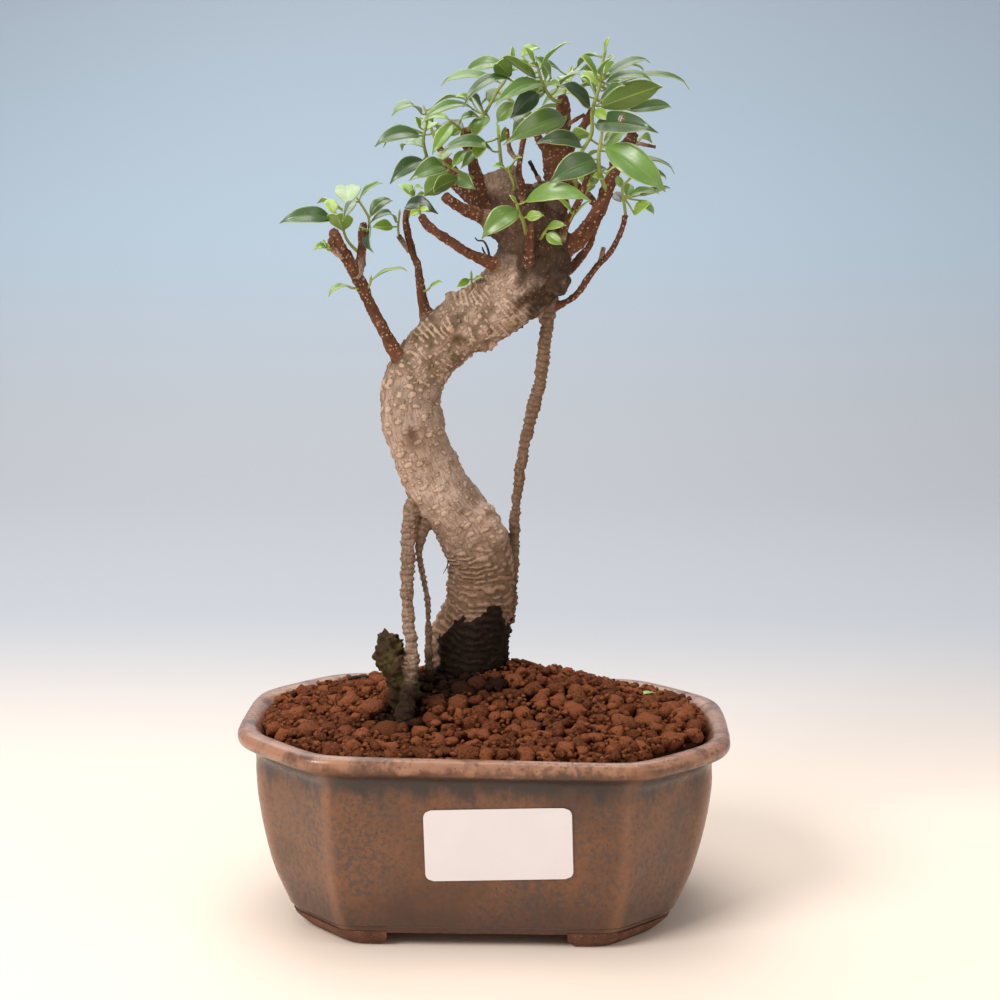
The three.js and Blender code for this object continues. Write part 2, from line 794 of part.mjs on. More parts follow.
      [8.8, 262.4, 1.4, 4.2, 266.6, -7, 6.6, -40, 0.6],
      [9.4, 264, 4.6, 16, 266, 12, 5, 20, 1.4],
      [9.1, 266.8, 3, 9.3, 271.4, 3.4, 1.8, 60, 0.2],
    ],
  },
  topMiddle: {
    stem: [
      [24.4, 254.4, 15.4, 0.8],
      [21.8, 255.2, 10, 0.75],
      [19.6, 257.8, 6, 0.7],
      [18.1, 261.2, 3, 0.6],
      [17, 265, 2, 0.5],
    ],
    leaves: [
      [18.6, 260, 0.6, 4, 254, -13, 6, 42, 3],
      [16.2, 266, 1.6, 12.9, 270.8, -1.6, 4, 60, 0.3],
      [18, 264.6, 1, 26.6, 272.8, -5, 5, 20, 1.2],
      [16.4, 261.6, 1, 5.5, 268.8, -6, 5.2, -8, 0.8],
      [19.8, 259.8, 2, 23.8, 259.8, -6, 3.4, 40, 0.4],
      [19.4, 261, 8, 16.9, 268.4, 13, 7, 40, 0.6],
      [12, 268, 5, 17.6, 270.8, 9, 4.4, 30, 1.6],
      [15.4, 263, 1, 10.6, 266.8, -9, 5, 50, 0.6],
      [17, 257.4, 3, 9, 250, -6, 7, 55, 1],
      [23, 258.6, 8, 30, 263.3, 1, 5.6, 22, 1.2],
    ],
  },
  backTop: { from: [24.8, 255.6, 16.4], to: [27, 264, 24], first: 0, count: 6 },
  backMiddle: { from: [16.8, 244.4, 33.6], to: [11, 257, 37], first: 2, count: 6 },
  backRight: { from: [33.8, 252, 33.6], to: [37, 262, 35], first: 1, count: 6 },
  backLeft: { from: [-13.8, 241.4, 29.6], to: [-17.5, 252, 33], first: 3, count: 5 },
  backOuter: { from: [40.4, 230.4, 31.8], to: [46, 240, 34], first: 4, count: 5 },
};

// A shoot at the back of the crown, by rule: leaves in turn round the stem, each the golden angle on from
// the last.
const GOLDEN_TURN = THREE.MathUtils.degToRad(137.5);
const BACK_RISE = 4;
function ruledShoot({ from, to, first, count }) {
  const stem = [
    [from[0], from[1], from[2], 0.7],
    [(from[0] + to[0]) / 2, (from[1] + to[1]) / 2, (from[2] + to[2]) / 2 + 0.6, 0.6],
    [to[0], to[1], to[2], 0.5],
  ];
  const leaves = [];
  for (let i = 0; i < count; i++) {
    const up = (i + 1) / count;
    const angle = first + i * GOLDEN_TURN;
    const length = 18 - 5 * up + 3 * (draw(i, first) - 0.5);
    const outX = Math.cos(angle);
    const outY = Math.sin(angle);
    const x = from[0] + (to[0] - from[0]) * up;
    const z = from[1] + (to[1] - from[1]) * up;
    const depth = from[2] + (to[2] - from[2]) * up;
    const rise = (BACK_RISE * up - 2) * (1 + 0.5 * draw(i, first + 3));
    const lean = 40 * (draw(i, first + 7) - 0.3) * (outY > 0 ? -1 : 1);
    leaves.push([
      x + outX * 2.4,
      z + 1,
      depth + outY * 2.4,
      x + outX * length,
      z + rise,
      depth + outY * length,
      6 + 1.4 * draw(i, first + 5),
      lean,
      2.2 + draw(i, first + 9),
    ]);
  }
  return { stem, leaves };
}

// How wide a blade is along its length, as a share of its full width.
function bladeShare(t) {
  return Math.pow(4 * t * (1 - t), 0.65) * (1.06 - 0.18 * t);
}

// The point of a stem nearest to a blade's base, past the stem's foot inside its limb.
const STEM_POINTS = 24;
const STEM_FOOT = 9;
function nearestOnStem(curve, p) {
  let best = null;
  for (let i = STEM_FOOT; i <= STEM_POINTS; i++) {
    const q = curve.getPoint(i / STEM_POINTS);
    if (!best || q.distanceTo(p) < best.distanceTo(p)) best = q;
  }
  return best;
}

// The middle line, sideways direction and normal of a blade, bent by an amount along the line of sight at
// its tip.
function bladeFrame(leaf, bend) {
  const [x0, z0, d0, x1, z1, d1, width, lean, arch] = leaf;
  const base = seen(x0, z0, d0);
  const tip = seen(x1, z1, d1 + bend);
  const along = tip.clone().sub(base);
  const length = along.length();
  along.normalize();
  const skyward = new THREE.Vector3(0, 0, 1).addScaledVector(along, -along.z).normalize();
  const viewward = new THREE.Vector3().crossVectors(along, skyward);
  if (viewward.y > 0) viewward.negate();
  const angle = THREE.MathUtils.degToRad(lean);
  const normal = skyward.multiplyScalar(Math.cos(angle)).addScaledVector(viewward, Math.sin(angle));
  const across = new THREE.Vector3().crossVectors(normal, along);
  return { base, along, length, normal, across, width, arch };
}

// A point of the blade: t runs from base to tip, u from one edge to the other.
function bladePoint(f, t, u, lift = 0) {
  const half = (f.width / 2) * bladeShare(t);
  const stand = f.arch * 4 * t * (1 - t) + 0.22 * half * Math.abs(u) + lift;
  return f.base
    .clone()
    .addScaledVector(f.along, f.length * t)
    .addScaledVector(f.normal, stand)
    .addScaledVector(f.across, half * u);
}

// Where a blade bends along its length, from a length upwards: small leaves have fewer bends.
const BLADE_STATIONS = [
  [15, [0.1, 0.42, 0.78, 1]],
  [0, [0.14, 0.58, 1]],
];

function leafSolid(f, root) {
  const stations = BLADE_STATIONS.find(([shortest]) => f.length >= shortest)[1];
  const g = new THREE.BoxGeometry(1, 1, 1, stations.length, 2, 1);
  const p = g.attributes.position;
  for (let i = 0; i < p.count; i++) {
    const station = Math.round((p.getX(i) + 0.5) * stations.length);
    const u = Math.round(p.getY(i) * 2);
    const side = p.getZ(i) > 0 ? 1 : -1;
    let v;
    if (station === 0) {
      v = root
        .clone()
        .addScaledVector(f.across, u * PETIOLE)
        .addScaledVector(f.normal, u === 0 ? side * PETIOLE : 0);
    } else if (station === stations.length) {
      v = bladePoint(f, 1, 0);
    } else {
      v = bladePoint(f, stations[station - 1], u, (side * BLADE_THICKNESS) / 2);
    }
    p.setXYZ(i, v.x, v.y, v.z);
  }
  return closedSolid(g);
}

// What already stands in the crown, as balls, so that the next blade can be bent clear of it.
const standing = [];

function roomFor(samples, owner) {
  let room = Infinity;
  for (const s of samples)
    for (const o of standing) {
      const own = o.owner === owner;
      if (own && (s.t < FREE_FROM || o.t < FREE_FROM)) continue;
      if (o.limb && s.t < FREE_FROM) continue;
      const need = own ? CLEAR_OF_OWN : CLEAR_OF_OTHERS;
      const gap = Math.hypot(s.x - o.x, s.y - o.y, s.z - o.z) - o.r - need;
      if (gap < room) room = gap;
    }
  return room;
}

const SAMPLES_ALONG = 9;
const SAMPLES_ASIDE = 2;
function bladeSamples(f) {
  const samples = [];
  for (let i = 1; i <= SAMPLES_ALONG; i++)
    for (let j = -SAMPLES_ASIDE; j <= SAMPLES_ASIDE; j++) {
      const t = i / SAMPLES_ALONG;
      const q = bladePoint(f, t, j / SAMPLES_ASIDE);
      samples.push({ x: q.x, y: q.y, z: q.z, t });
    }
  return samples;
}

// The first bend that gives a blade room, or else the one with the most room.
const BENDS = [0, -2, 2, -4, 4, -6, 6, -8, 8, -10, 10];
function bentClear(leaf, owner) {
  let best = null;
  for (const bend of BENDS) {
    const f = bladeFrame(leaf, bend);
    const samples = bladeSamples(f);
    const room = roomFor(samples, owner);
    if (!best || room > best.room + 1e-6) best = { f, samples, room };
    if (room >= 0) break;
  }
  for (const s of best.samples) standing.push({ ...s, r: BLADE_REACH, owner });
  return best.f;
}

// A point of the pot's outline seen from above, at a turn round the middle, for an inset from the lip's
// edge and a height. It is an eight-sided outline with soft corners.
function outline(turn, inset, z) {
  const taper = ENDS_TAPER * Math.pow(Math.max(0, 1 - z / TAPER_TOP), 2);
  const a = POT_LENGTH / 2 - inset - taper;
  const b = POT_DEPTH / 2 - inset;
  const cut = a + b - CORNER_CUT + CORNER_FADE * taper;
  const x = a * Math.cos(turn);
  const y = b * Math.sin(turn);
  const sides = [Math.abs(x) / a, Math.abs(y) / b, (Math.abs(x) + Math.abs(y)) / cut];
  const sum = sides.reduce((total, side) => total + Math.pow(side, CORNER_SOFTNESS), 0);
  const reach = Math.pow(sum, -1 / CORNER_SOFTNESS);
  return [x * reach, y * reach];
}

// Turns a lathed shape into one of the pot's outline. A row of its profile is [inset, z, share, mounded]:
// the inset from the lip's edge, the height, and the share of the way out from the middle. Mounded rows lie
// on the soil's own height.
function potSolid(profile) {
  const points = profile.map(([, z, share = 1]) => new THREE.Vector2(share, z));
  const g = new THREE.LatheGeometry(points, POT_SIDES);
  const p = g.attributes.position;
  for (let i = 0; i < p.count; i++) {
    const [inset, z, share = 1, mounded = false] = profile[i % profile.length];
    const [outX, outY] = outline(Math.atan2(-p.getZ(i), p.getX(i)), inset, z);
    const x = outX * share;
    const y = outY * share;
    p.setXYZ(i, x, y, mounded ? soilHeight(x, y) : z);
  }
  return closedSolid(g);
}

function makePot() {
  let pot = potSolid([[0, FLOOR_BOTTOM, 0], ...BODY_FACE, ...LIP, ...INNER_FACE, [0, FLOOR_TOP, 0]]);
  pot = pot.add(makeFeet());
  for (const sx of [-1, 1]) {
    const drain = new THREE.CylinderGeometry(DRAIN_RADIUS, DRAIN_RADIUS, 2 * FLOOR_TOP, DRAIN_SIDES);
    drain.rotateX(Math.PI / 2);
    drain.translate((sx * DRAIN_SPACING) / 2, 0, FLOOR_BOTTOM);
    pot = pot.subtract(closedSolid(drain));
  }
  return pot;
}

// The four feet: the band under the body goes on down to the table at the pot's corners.
function makeFeet() {
  const ring = potSolid([
    [0, 0, 0],
    [BAND_INSET, 0],
    [BAND_INSET, FLOOR_BOTTOM],
    [BAND_INSET + 1, FLOOR_BOTTOM + 1],
    [0, FLOOR_BOTTOM + 1, 0],
  ]);
  const corners = [];
  for (const sx of [-1, 1])
    for (const sy of [-1, 1]) {
      const block = new THREE.BoxGeometry(POT_LENGTH / 2, POT_DEPTH / 2, POT_HEIGHT);
      block.translate(sx * (FOOT_START[0] + POT_LENGTH / 4), sy * (FOOT_START[1] + POT_DEPTH / 4), 0);
      corners.push(closedSolid(block));
    }
  return ring.intersect(wasm.Manifold.union(corners));
}

// How far the outer face is in from the lip's edge at a height.
function bodyInset(z) {
  const above = BODY_FACE.findIndex(([, top]) => top >= z);
  const [low, lowZ] = BODY_FACE[above - 1];
  const [high, highZ] = BODY_FACE[above];
  return THREE.MathUtils.mapLinear(z, lowZ, highZ, low, high);
}

// The outer face's distance from the pot's middle plane, at a place along the pot.
function frontFace(x, z) {
  let low = 0;
  let high = Math.PI;
  for (let i = 0; i < 30; i++) {
    const middle = (low + high) / 2;
    if (outline(middle, bodyInset(z), z)[0] > x) low = middle;
    else high = middle;
  }
  return outline(low, bodyInset(z), z)[1];
}

// A thin plate bent to the front face, with its corners cut.
function makeLabel() {
  const bottom = LABEL_MIDDLE[1] - LABEL_HEIGHT / 2;
  const top = LABEL_MIDDLE[1] + LABEL_HEIGHT / 2;
  const rows = [bottom, bottom + LABEL_CORNER, LABEL_MIDDLE[1], FACE_BEND, top - LABEL_CORNER, top];
  const g = new THREE.BoxGeometry(1, LABEL_THICKNESS, 1, LABEL_PANELS, 1, rows.length - 1);
  const p = g.attributes.position;
  for (let i = 0; i < p.count; i++) {
    const level = rows[Math.round((p.getZ(i) + 0.5) * (rows.length - 1))];
    const length = level === bottom || level === top ? LABEL_LENGTH - 2 * LABEL_CORNER : LABEL_LENGTH;
    const along = p.getX(i) * length;
    const x = LABEL_MIDDLE[0] + along - LABEL_TILT * (level - LABEL_MIDDLE[1]);
    const z = level + LABEL_TILT * along;
    const out = GAP + LABEL_THICKNESS / 2 - p.getY(i);
    p.setXYZ(i, x, -frontFace(x, z) - out, z);
  }
  return closedSolid(g);
}

// Lifts a piece that was made below the soil's top until it lies on the soil, with a gap.
function laidOn(bed, geometry) {
  const step = 0.1;
  while (!closedSolid(geometry).intersect(bed).isEmpty()) geometry.translate(0, 0, step);
  return closedSolid(geometry.translate(0, 0, GAP));
}

// The small leaf lying on the soil.
function makeFallenLeaf(soil) {
  const { x, y, length, width, turn } = FALLEN_LEAF;
  const stations = [-0.5, -0.25, 0.1, 0.5];
  const g = new THREE.BoxGeometry(1, 1, BLADE_THICKNESS, stations.length - 1, 2, 1);
  const p = g.attributes.position;
  for (let i = 0; i < p.count; i++) {
    const along = stations[Math.round((p.getX(i) + 0.5) * (stations.length - 1))];
    const half = (width / 2) * (1 - Math.pow(2 * Math.abs(along), 2) * 0.96);
    p.setXYZ(i, along * length, 2 * p.getY(i) * half, p.getZ(i) - 2 * along * along);
  }
  g.rotateZ(THREE.MathUtils.degToRad(turn));
  g.translate(x, y, soilHeight(x, y));
  return laidOn(soil, g);
}

// The short dead twig lying on the soil.
function makeDeadTwig(soil) {
  const { x, y, length, radius, turn } = DEAD_TWIG;
  const g = new THREE.CylinderGeometry(radius * 0.7, radius, length, 6);
  g.rotateZ(Math.PI / 2);
  g.rotateZ(THREE.MathUtils.degToRad(turn));
  g.translate(x, y, soilHeight(x, y));
  return laidOn(soil, g);
}

// The height of the soil's bed at a place in the pot.
function soilHeight(x, y) {
  const dx = (x - MOUND_MIDDLE[0]) / MOUND_REACH[0];
  const dy = (y - MOUND_MIDDLE[1]) / MOUND_REACH[1];
  const back = SOIL_DIP * THREE.MathUtils.smoothstep(x + y, 40, 90);
  return SOIL_EDGE - back + SOIL_MOUND * Math.exp(-1.1 * (dx * dx + dy * dy));
}

const SOIL_TOP_SHARES = [0.92, 0.78, 0.62, 0.42, 0];
function makeSoil(tree) {
  const bed = potSolid([
    [SOIL_INSET, FLOOR_TOP + GAP, 0],
    ...SOIL_SIDE,
    [SOIL_INSET, SOIL_EDGE - 1],
    ...SOIL_TOP_SHARES.map((share) => [SOIL_INSET, SOIL_EDGE, share, true]),
  ]);
  const lumps = [];
  for (let i = 0; i < GRANULES; i++) {
    const spread = Math.sqrt((i + 0.5) / GRANULES);
    const [outX, outY] = outline(i * GOLDEN_TURN, SOIL_INSET + 2.5, SOIL_EDGE);
    const x = outX * spread + 2 * (draw(i, 1) - 0.5);
    const y = outY * spread + 2 * (draw(i, 2) - 0.5);
    const size = GRANULE_SMALLEST + GRANULE_SPREAD * draw(i, 3);
    const g = new THREE.OctahedronGeometry(size, 0);
    g.scale(1, 0.8 + 0.3 * draw(i, 4), 0.75);
    g.rotateZ(6 * draw(i, 5));
    g.rotateX(0.8 * draw(i, 6));
    g.translate(x, y, soilHeight(x, y) + 0.1 * size);
    lumps.push(closedSolid(g));
  }
  return mainBody(bed.add(wasm.Manifold.union(lumps)).subtract(tree));
}

const TRUNK_SIDES = 11;
const THICK_LIMB = { from: 2.6, sides: 7 };
const THIN_LIMB_SIDES = 5;
function makeTrunk(grow) {
  const solids = [limbSolid(TRUNK, TRUNK_SIDES, 2, grow)];
  for (const points of Object.values(LIMBS)) {
    const thickness = points[1][3];
    const sides = thickness > THICK_LIMB.from ? THICK_LIMB.sides : THIN_LIMB_SIDES;
    solids.push(limbSolid(points, sides, 1, grow));
  }
  for (const [x, z, depth, r] of LUMPS) {
    const g = new THREE.SphereGeometry(r + grow, 7, 4);
    const at = seen(x, z, depth);
    g.translate(at.x, at.y, at.z);
    solids.push(closedSolid(g));
  }
  return mainBody(wasm.Manifold.union(solids));
}

const STEM_SIDES = 4;
function makeShoot(name, shoot, wideTrunk) {
  const curve = limbCurve(shoot.stem);
  const solids = [limbSolid(shoot.stem, STEM_SIDES, 1)];
  for (const leaf of shoot.leaves) {
    const f = bentClear(leaf, name);
    const root = nearestOnStem(curve, f.base);
    solids.push(leafSolid(f, root));
  }
  return mainBody(wasm.Manifold.union(solids).subtract(wideTrunk));
}

// A solid modelled in the photograph's view, turned to the pot's own frame.
function turned(solid) {
  return closedSolid(geometryOf(solid).rotateZ(VIEW_TURN));
}

const group = new THREE.Group();
const tree = new THREE.Group();
tree.rotation.z = VIEW_TURN;
group.add(tree);

function place(parent, name, solid, material) {
  const mesh = new THREE.Mesh(geometryOf(solid), material);
  mesh.name = name;
  parent.add(mesh);
}

const glaze = new THREE.MeshStandardMaterial({ color: 0x6b4a33, roughness: 0.45, metalness: 0 });
const paper = new THREE.MeshStandardMaterial({ color: 0xe9e6e6, roughness: 0.7, metalness: 0 });
const granule = new THREE.MeshStandardMaterial({ color: 0x5f2f1e, roughness: 0.95, metalness: 0 });
const bark = new THREE.MeshStandardMaterial({ color: 0x7d6a5a, roughness: 0.85, metalness: 0 });
const green = new THREE.MeshStandardMaterial({ color: 0x4e8a2c, roughness: 0.4, metalness: 0 });
const deadWood = new THREE.MeshStandardMaterial({ color: 0x2c211c, roughness: 0.9, metalness: 0 });

// The balls along each limb, stem and petiole that blades keep clear of
const BALLS_PER_POINT = 5;
const STEM_BALLS = 12;
const FIRST_STEM_BALL = 4;
const PETIOLE_SHARES = [0.33, 0.67, 1];
for (const [owner, points] of [["trunk", TRUNK], ...Object.entries(LIMBS)]) {
  const curve = limbCurve(points);
  const count = (points.length - 1) * BALLS_PER_POINT;
  for (let i = 0; i <= count; i++) {
    const q = curve.getPoint(i / count);
    standing.push({ x: q.x, y: q.y, z: q.z, r: radiusAt(points, i / count), owner, t: 1, limb: true });
  }
}
const allShoots = {};
for (const [name, shoot] of Object.entries(SHOOTS))
  allShoots[name] = shoot.stem ? shoot : ruledShoot(shoot);
for (const [name, shoot] of Object.entries(allShoots)) {
  const curve = limbCurve(shoot.stem);
  for (let i = FIRST_STEM_BALL; i <= STEM_BALLS; i++) {
    const q = curve.getPoint(i / STEM_BALLS);
    standing.push({ x: q.x, y: q.y, z: q.z, r: STEM, owner: name, t: 0 });
  }
  for (const leaf of shoot.leaves) {
    const base = seen(leaf[0], leaf[1], leaf[2]);
    const root = nearestOnStem(curve, base);
    for (const share of PETIOLE_SHARES) {
      const q = root.clone().lerp(base, share);
      standing.push({ x: q.x, y: q.y, z: q.z, r: PETIOLE, owner: name, t: 0 });
    }
  }
}

const wideTrunk = makeTrunk(GAP);
const soil = makeSoil(turned(wideTrunk));
place(group, "pot", makePot(), glaze);
place(group, "label", makeLabel(), paper);
place(group, "soil", soil, granule);
place(group, "fallen_leaf", makeFallenLeaf(soil), green);
place(group, "dead_twig", makeDeadTwig(soil), deadWood);
place(tree, "trunk", makeTrunk(0), bark);
for (const [name, shoot] of Object.entries(allShoots)) {
  place(tree, name, makeShoot(name, shoot, wideTrunk), green);
}

export default group;
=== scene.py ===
# %% [markdown]
# # A small fig bonsai in its glazed pot
#
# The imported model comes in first, as the frame that everything is set against. Its solids are simple, so
# every visible piece is made again here in finer form, in the same place: the pot, its label, the soil,
# the tree's wood and each leafy shoot. Sizes are typed in millimetres and turned to Blender's metres when
# a piece is finished.

# %% Frame
import math

import bmesh
import bpy
import numpy as np
from mathutils import Matrix, Vector, noise


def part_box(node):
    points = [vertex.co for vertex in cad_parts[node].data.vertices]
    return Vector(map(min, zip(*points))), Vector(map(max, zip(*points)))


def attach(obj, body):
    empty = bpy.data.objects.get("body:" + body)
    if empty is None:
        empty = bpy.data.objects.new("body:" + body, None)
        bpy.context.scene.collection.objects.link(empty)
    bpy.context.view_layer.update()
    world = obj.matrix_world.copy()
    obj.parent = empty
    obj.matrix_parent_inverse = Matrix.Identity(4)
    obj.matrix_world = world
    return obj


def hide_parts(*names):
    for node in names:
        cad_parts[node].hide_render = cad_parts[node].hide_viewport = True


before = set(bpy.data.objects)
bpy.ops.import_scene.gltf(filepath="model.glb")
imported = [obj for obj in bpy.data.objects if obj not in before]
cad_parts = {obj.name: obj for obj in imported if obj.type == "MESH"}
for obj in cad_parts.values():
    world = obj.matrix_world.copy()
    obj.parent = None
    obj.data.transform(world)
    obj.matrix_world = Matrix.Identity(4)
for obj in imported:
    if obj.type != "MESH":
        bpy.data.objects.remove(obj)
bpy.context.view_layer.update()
MM = 0.001

# %% [markdown]
# ## Camera
#
# The photograph was taken from a little above, with a long lens, and the pot is turned a few degrees from
# it. A camera can be placed by trial and error, but here its place was worked out from the pot's own
# edges: 624 mm in front of the pot and 231 mm up, looking down by 9.1 degrees, turned with the view by 2
# degrees.

# %% Camera
VIEW_TURN = math.radians(2)
EYE = Vector((5.5, -624, 231))
LOOKING_DOWN = math.radians(9.1)

camera_data = bpy.data.cameras.new("camera")
camera_data.lens = 72
camera_data.sensor_width = 36
camera_data.clip_start = 0.02
camera_data.clip_end = 20
camera = bpy.data.objects.new("camera", camera_data)
bpy.context.scene.collection.objects.link(camera)
camera.location = Matrix.Rotation(VIEW_TURN, 3, "Z") @ EYE * MM
camera.rotation_euler = (math.pi / 2 - LOOKING_DOWN, 0, VIEW_TURN)
bpy.context.scene.camera = camera
print("camera at", [round(v / MM) for v in camera.location])

# %% [markdown]
# ## Small tools for every piece
#
# Each piece is modelled as a bmesh in millimetres. One helper turns a finished bmesh into a piece: it
# scales the mesh to metres, gives it its materials, makes it ride on the model and says which solid it
# stands for. Another gives the same seeded draw as the part's own source, so that things land in the
# same places.


# %% From a bmesh to a piece
def object_from(bm, name):
    made = bpy.data.objects.new(name, bpy.data.meshes.new(name))
    bm.to_mesh(made.data)
    bm.free()
    bpy.context.scene.collection.objects.link(made)
    return made


def apply_modifier(piece, kind, **settings):
    modifier = piece.modifiers.new(kind, kind)
    for key, value in settings.items():
        setattr(modifier, key, value)
    bpy.context.view_layer.objects.active = piece
    bpy.ops.object.modifier_apply(modifier=modifier.name)


def piece_from(bm, name, materials, replaced=(), turn=0.0, smooth=True):
    bm.transform(Matrix.Rotation(turn, 4, "Z") @ Matrix.Scale(MM, 4))
    for face in bm.faces:
        face.smooth = smooth
    piece = object_from(bm, name)
    for material in materials:
        piece.data.materials.append(material)
    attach(piece, "root")
    if replaced:
        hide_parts(*replaced)
    print(name, "faces:", len(piece.data.polygons))
    return piece


def draw(i, k):
    s = math.sin(i * 12.9898 + k * 78.233) * 43758.5453
    return s - math.floor(s)


def smoothstep(v, low, high):
    t = min(max((v - low) / (high - low), 0.0), 1.0)
    return t * t * (3 - 2 * t)


def ripple(point, size, seed=0.0):
    return noise.noise(Vector(point) / size + Vector((seed, 2 * seed, 3 * seed)))


# %% [markdown]
# ## Smooth routes
#
# A limb or a stem is typed as a few points with a radius. A smooth curve through them could be a Blender
# curve object, but the solids follow a Catmull-Rom curve, so the same curve is worked out here and both
# agree. A tube is then a flat grid rolled up round the route, with its seam merged and its two ends
# filled.


# %% Routes and tubes
def seen(x, z, depth):
    reach = 1 + depth / -EYE.y
    return Vector((EYE.x + (x - EYE.x) * reach, depth, EYE.z + (z - EYE.z) * reach))


class Route:
    def __init__(self, points):
        self.points = [seen(p[0], p[1], p[2]) for p in points]
        self.radii = [p[3] if len(p) > 3 else 0.5 for p in points]

    def span(self, t):
        at = t * (len(self.points) - 1)
        i = min(int(at), len(self.points) - 2)
        p1 = self.points[i]
        p2 = self.points[i + 1]
        p0 = self.points[i - 1] if i > 0 else 2 * p1 - p2
        p3 = self.points[i + 2] if i + 2 < len(self.points) else 2 * p2 - p1
        return at - i, i, p1, p2, (p2 - p0) / 2, (p3 - p1) / 2

    def at(self, t):
        w, _, p1, p2, m1, m2 = self.span(t)
        a = 2 * p1 - 2 * p2 + m1 + m2
        b = -3 * p1 + 3 * p2 - 2 * m1 - m2
        return ((a * w + b) * w + m1) * w + p1

    def along(self, t):
        w, _, p1, p2, m1, m2 = self.span(t)
        a = 2 * p1 - 2 * p2 + m1 + m2
        b = -3 * p1 + 3 * p2 - 2 * m1 - m2
        return ((3 * a * w + 2 * b) * w + m1).normalized()

    def radius(self, t):
        w, i = self.span(t)[:2]
        return self.radii[i] * (1 - w) + self.radii[i + 1] * w

    def frames(self, steps):
        made = []
        side = None
        for i in range(steps + 1):
            t = i / steps
            along = self.along(t)
            if side is None:
                side = Vector((0, 1, 0)) if abs(along.y) < 0.9 else Vector((1, 0, 0))
            side = (side - along * side.dot(along)).normalized()
            made.append((self.at(t), along, side, along.cross(side), self.radius(t)))
        return made


def straight_route(points, radii=()):
    route = Route([])
    route.points = [Vector(p) for p in points]
    route.radii = list(radii)
    return route


def add_tube(bm, route, sides, steps, material_index=0, shape=None):
    grid = bmesh.ops.create_grid(bm, x_segments=sides, y_segments=steps, size=0.5)["verts"]
    frames = route.frames(steps)
    for v in grid:
        angle = (v.co.x + 0.5) * math.tau
        step = round((v.co.y + 0.5) * steps)
        centre, along, side, other, radius = frames[step]
        r = radius * (shape(step / steps, angle) if shape else 1)
        v.co = centre + side * (math.cos(angle) * r) + other * (math.sin(angle) * r)
    bmesh.ops.remove_doubles(bm, verts=grid, dist=1e-4)
    kept = [v for v in grid if v.is_valid]
    rims = [e for e in {e for v in kept for e in v.link_edges} if e.is_boundary]
    ends = bmesh.ops.holes_fill(bm, edges=rims, sides=sides)["faces"]
    faces = list({f for v in kept for f in v.link_faces} | set(ends))
    bmesh.ops.recalc_face_normals(bm, faces=faces)
    for face in faces:
        face.material_index = material_index
    return kept


# %% [markdown]
# ## Tools for materials
#
# A material is a small graph of nodes. Typing each node and link in full is long, so short helpers add a
# node with its values or links, mix two colours, lay a colour over a masked part, read a number stored
# on the mesh, and give a bump. Colours are typed as they look on a screen, from 0 to 255, and turned to
# Blender's linear light.


# %% Nodes in one line
def colour(red, green, blue):
    linear = [((c / 255 + 0.055) / 1.055) ** 2.4 if c > 10 else c / 255 / 12.92 for c in (red, green, blue)]
    return (*linear, 1.0)


def feed(tree, socket, value):
    if isinstance(value, bpy.types.NodeSocket):
        tree.links.new(value, socket)
    else:
        socket.default_value = value


def add(tree, kind, settings=None, **inputs):
    made = tree.nodes.new("ShaderNode" + kind)
    for key, value in (settings or {}).items():
        setattr(made, key, value)
    for key, value in inputs.items():
        feed(tree, made.inputs[key.replace("_", " ")], value)
    return made


def mix(tree, share, first, second):
    made = add(tree, "Mix", {"data_type": "RGBA"})
    feed(tree, made.inputs[0], share)
    feed(tree, made.inputs[6], first)
    feed(tree, made.inputs[7], second)
    return made.outputs[2]


def maths(tree, operation, first, second=0.5):
    made = add(tree, "Math", {"operation": operation})
    feed(tree, made.inputs[0], first)
    feed(tree, made.inputs[1], second)
    return made.outputs[0]


def spread(tree, value, low, high, to_low=0.0, to_high=1.0):
    made = add(tree, "MapRange", {"interpolation_type": "SMOOTHSTEP"})
    for socket, number in zip(list(made.inputs)[:5], (value, low, high, to_low, to_high)):
        feed(tree, socket, number)
    return made.outputs[0]


def cover(tree, mask, strength, first, second):
    return mix(tree, maths(tree, "MULTIPLY", mask, strength), first, second)


def attribute(tree, name):
    return add(tree, "Attribute", {"attribute_name": name}).outputs["Fac"]


def bump(tree, shader, height, strength, distance):
    made = add(tree, "Bump", Height=height, Strength=strength, Distance=distance)
    feed(tree, shader.inputs["Normal"], made.outputs[0])


def new_material(name):
    material = bpy.data.materials.new(name)
    material.use_nodes = True
    tree = material.node_tree
    return material, tree, tree.nodes["Principled BSDF"]


# %% [markdown]
# ## Two effects that several finishes share
#
# Fired clay, bark, soil and leaves are all uneven in two ways: broad soft patches, and small round flecks
# such as pinholes, lenticels or pores. Each effect is built once as a node group that gives out a mask,
# and each material then uses it with its own size and amount.


# %% Patches and flecks
def new_group(name, inputs):
    group = bpy.data.node_groups.new(name, "ShaderNodeTree")
    group.interface.new_socket(name="Vector", in_out="INPUT", socket_type="NodeSocketVector")
    for label, value in inputs.items():
        socket = group.interface.new_socket(name=label, in_out="INPUT", socket_type="NodeSocketFloat")
        socket.default_value = value
    group.interface.new_socket(name="Mask", in_out="OUTPUT", socket_type="NodeSocketFloat")
    return group, group.nodes.new("NodeGroupInput"), group.nodes.new("NodeGroupOutput")


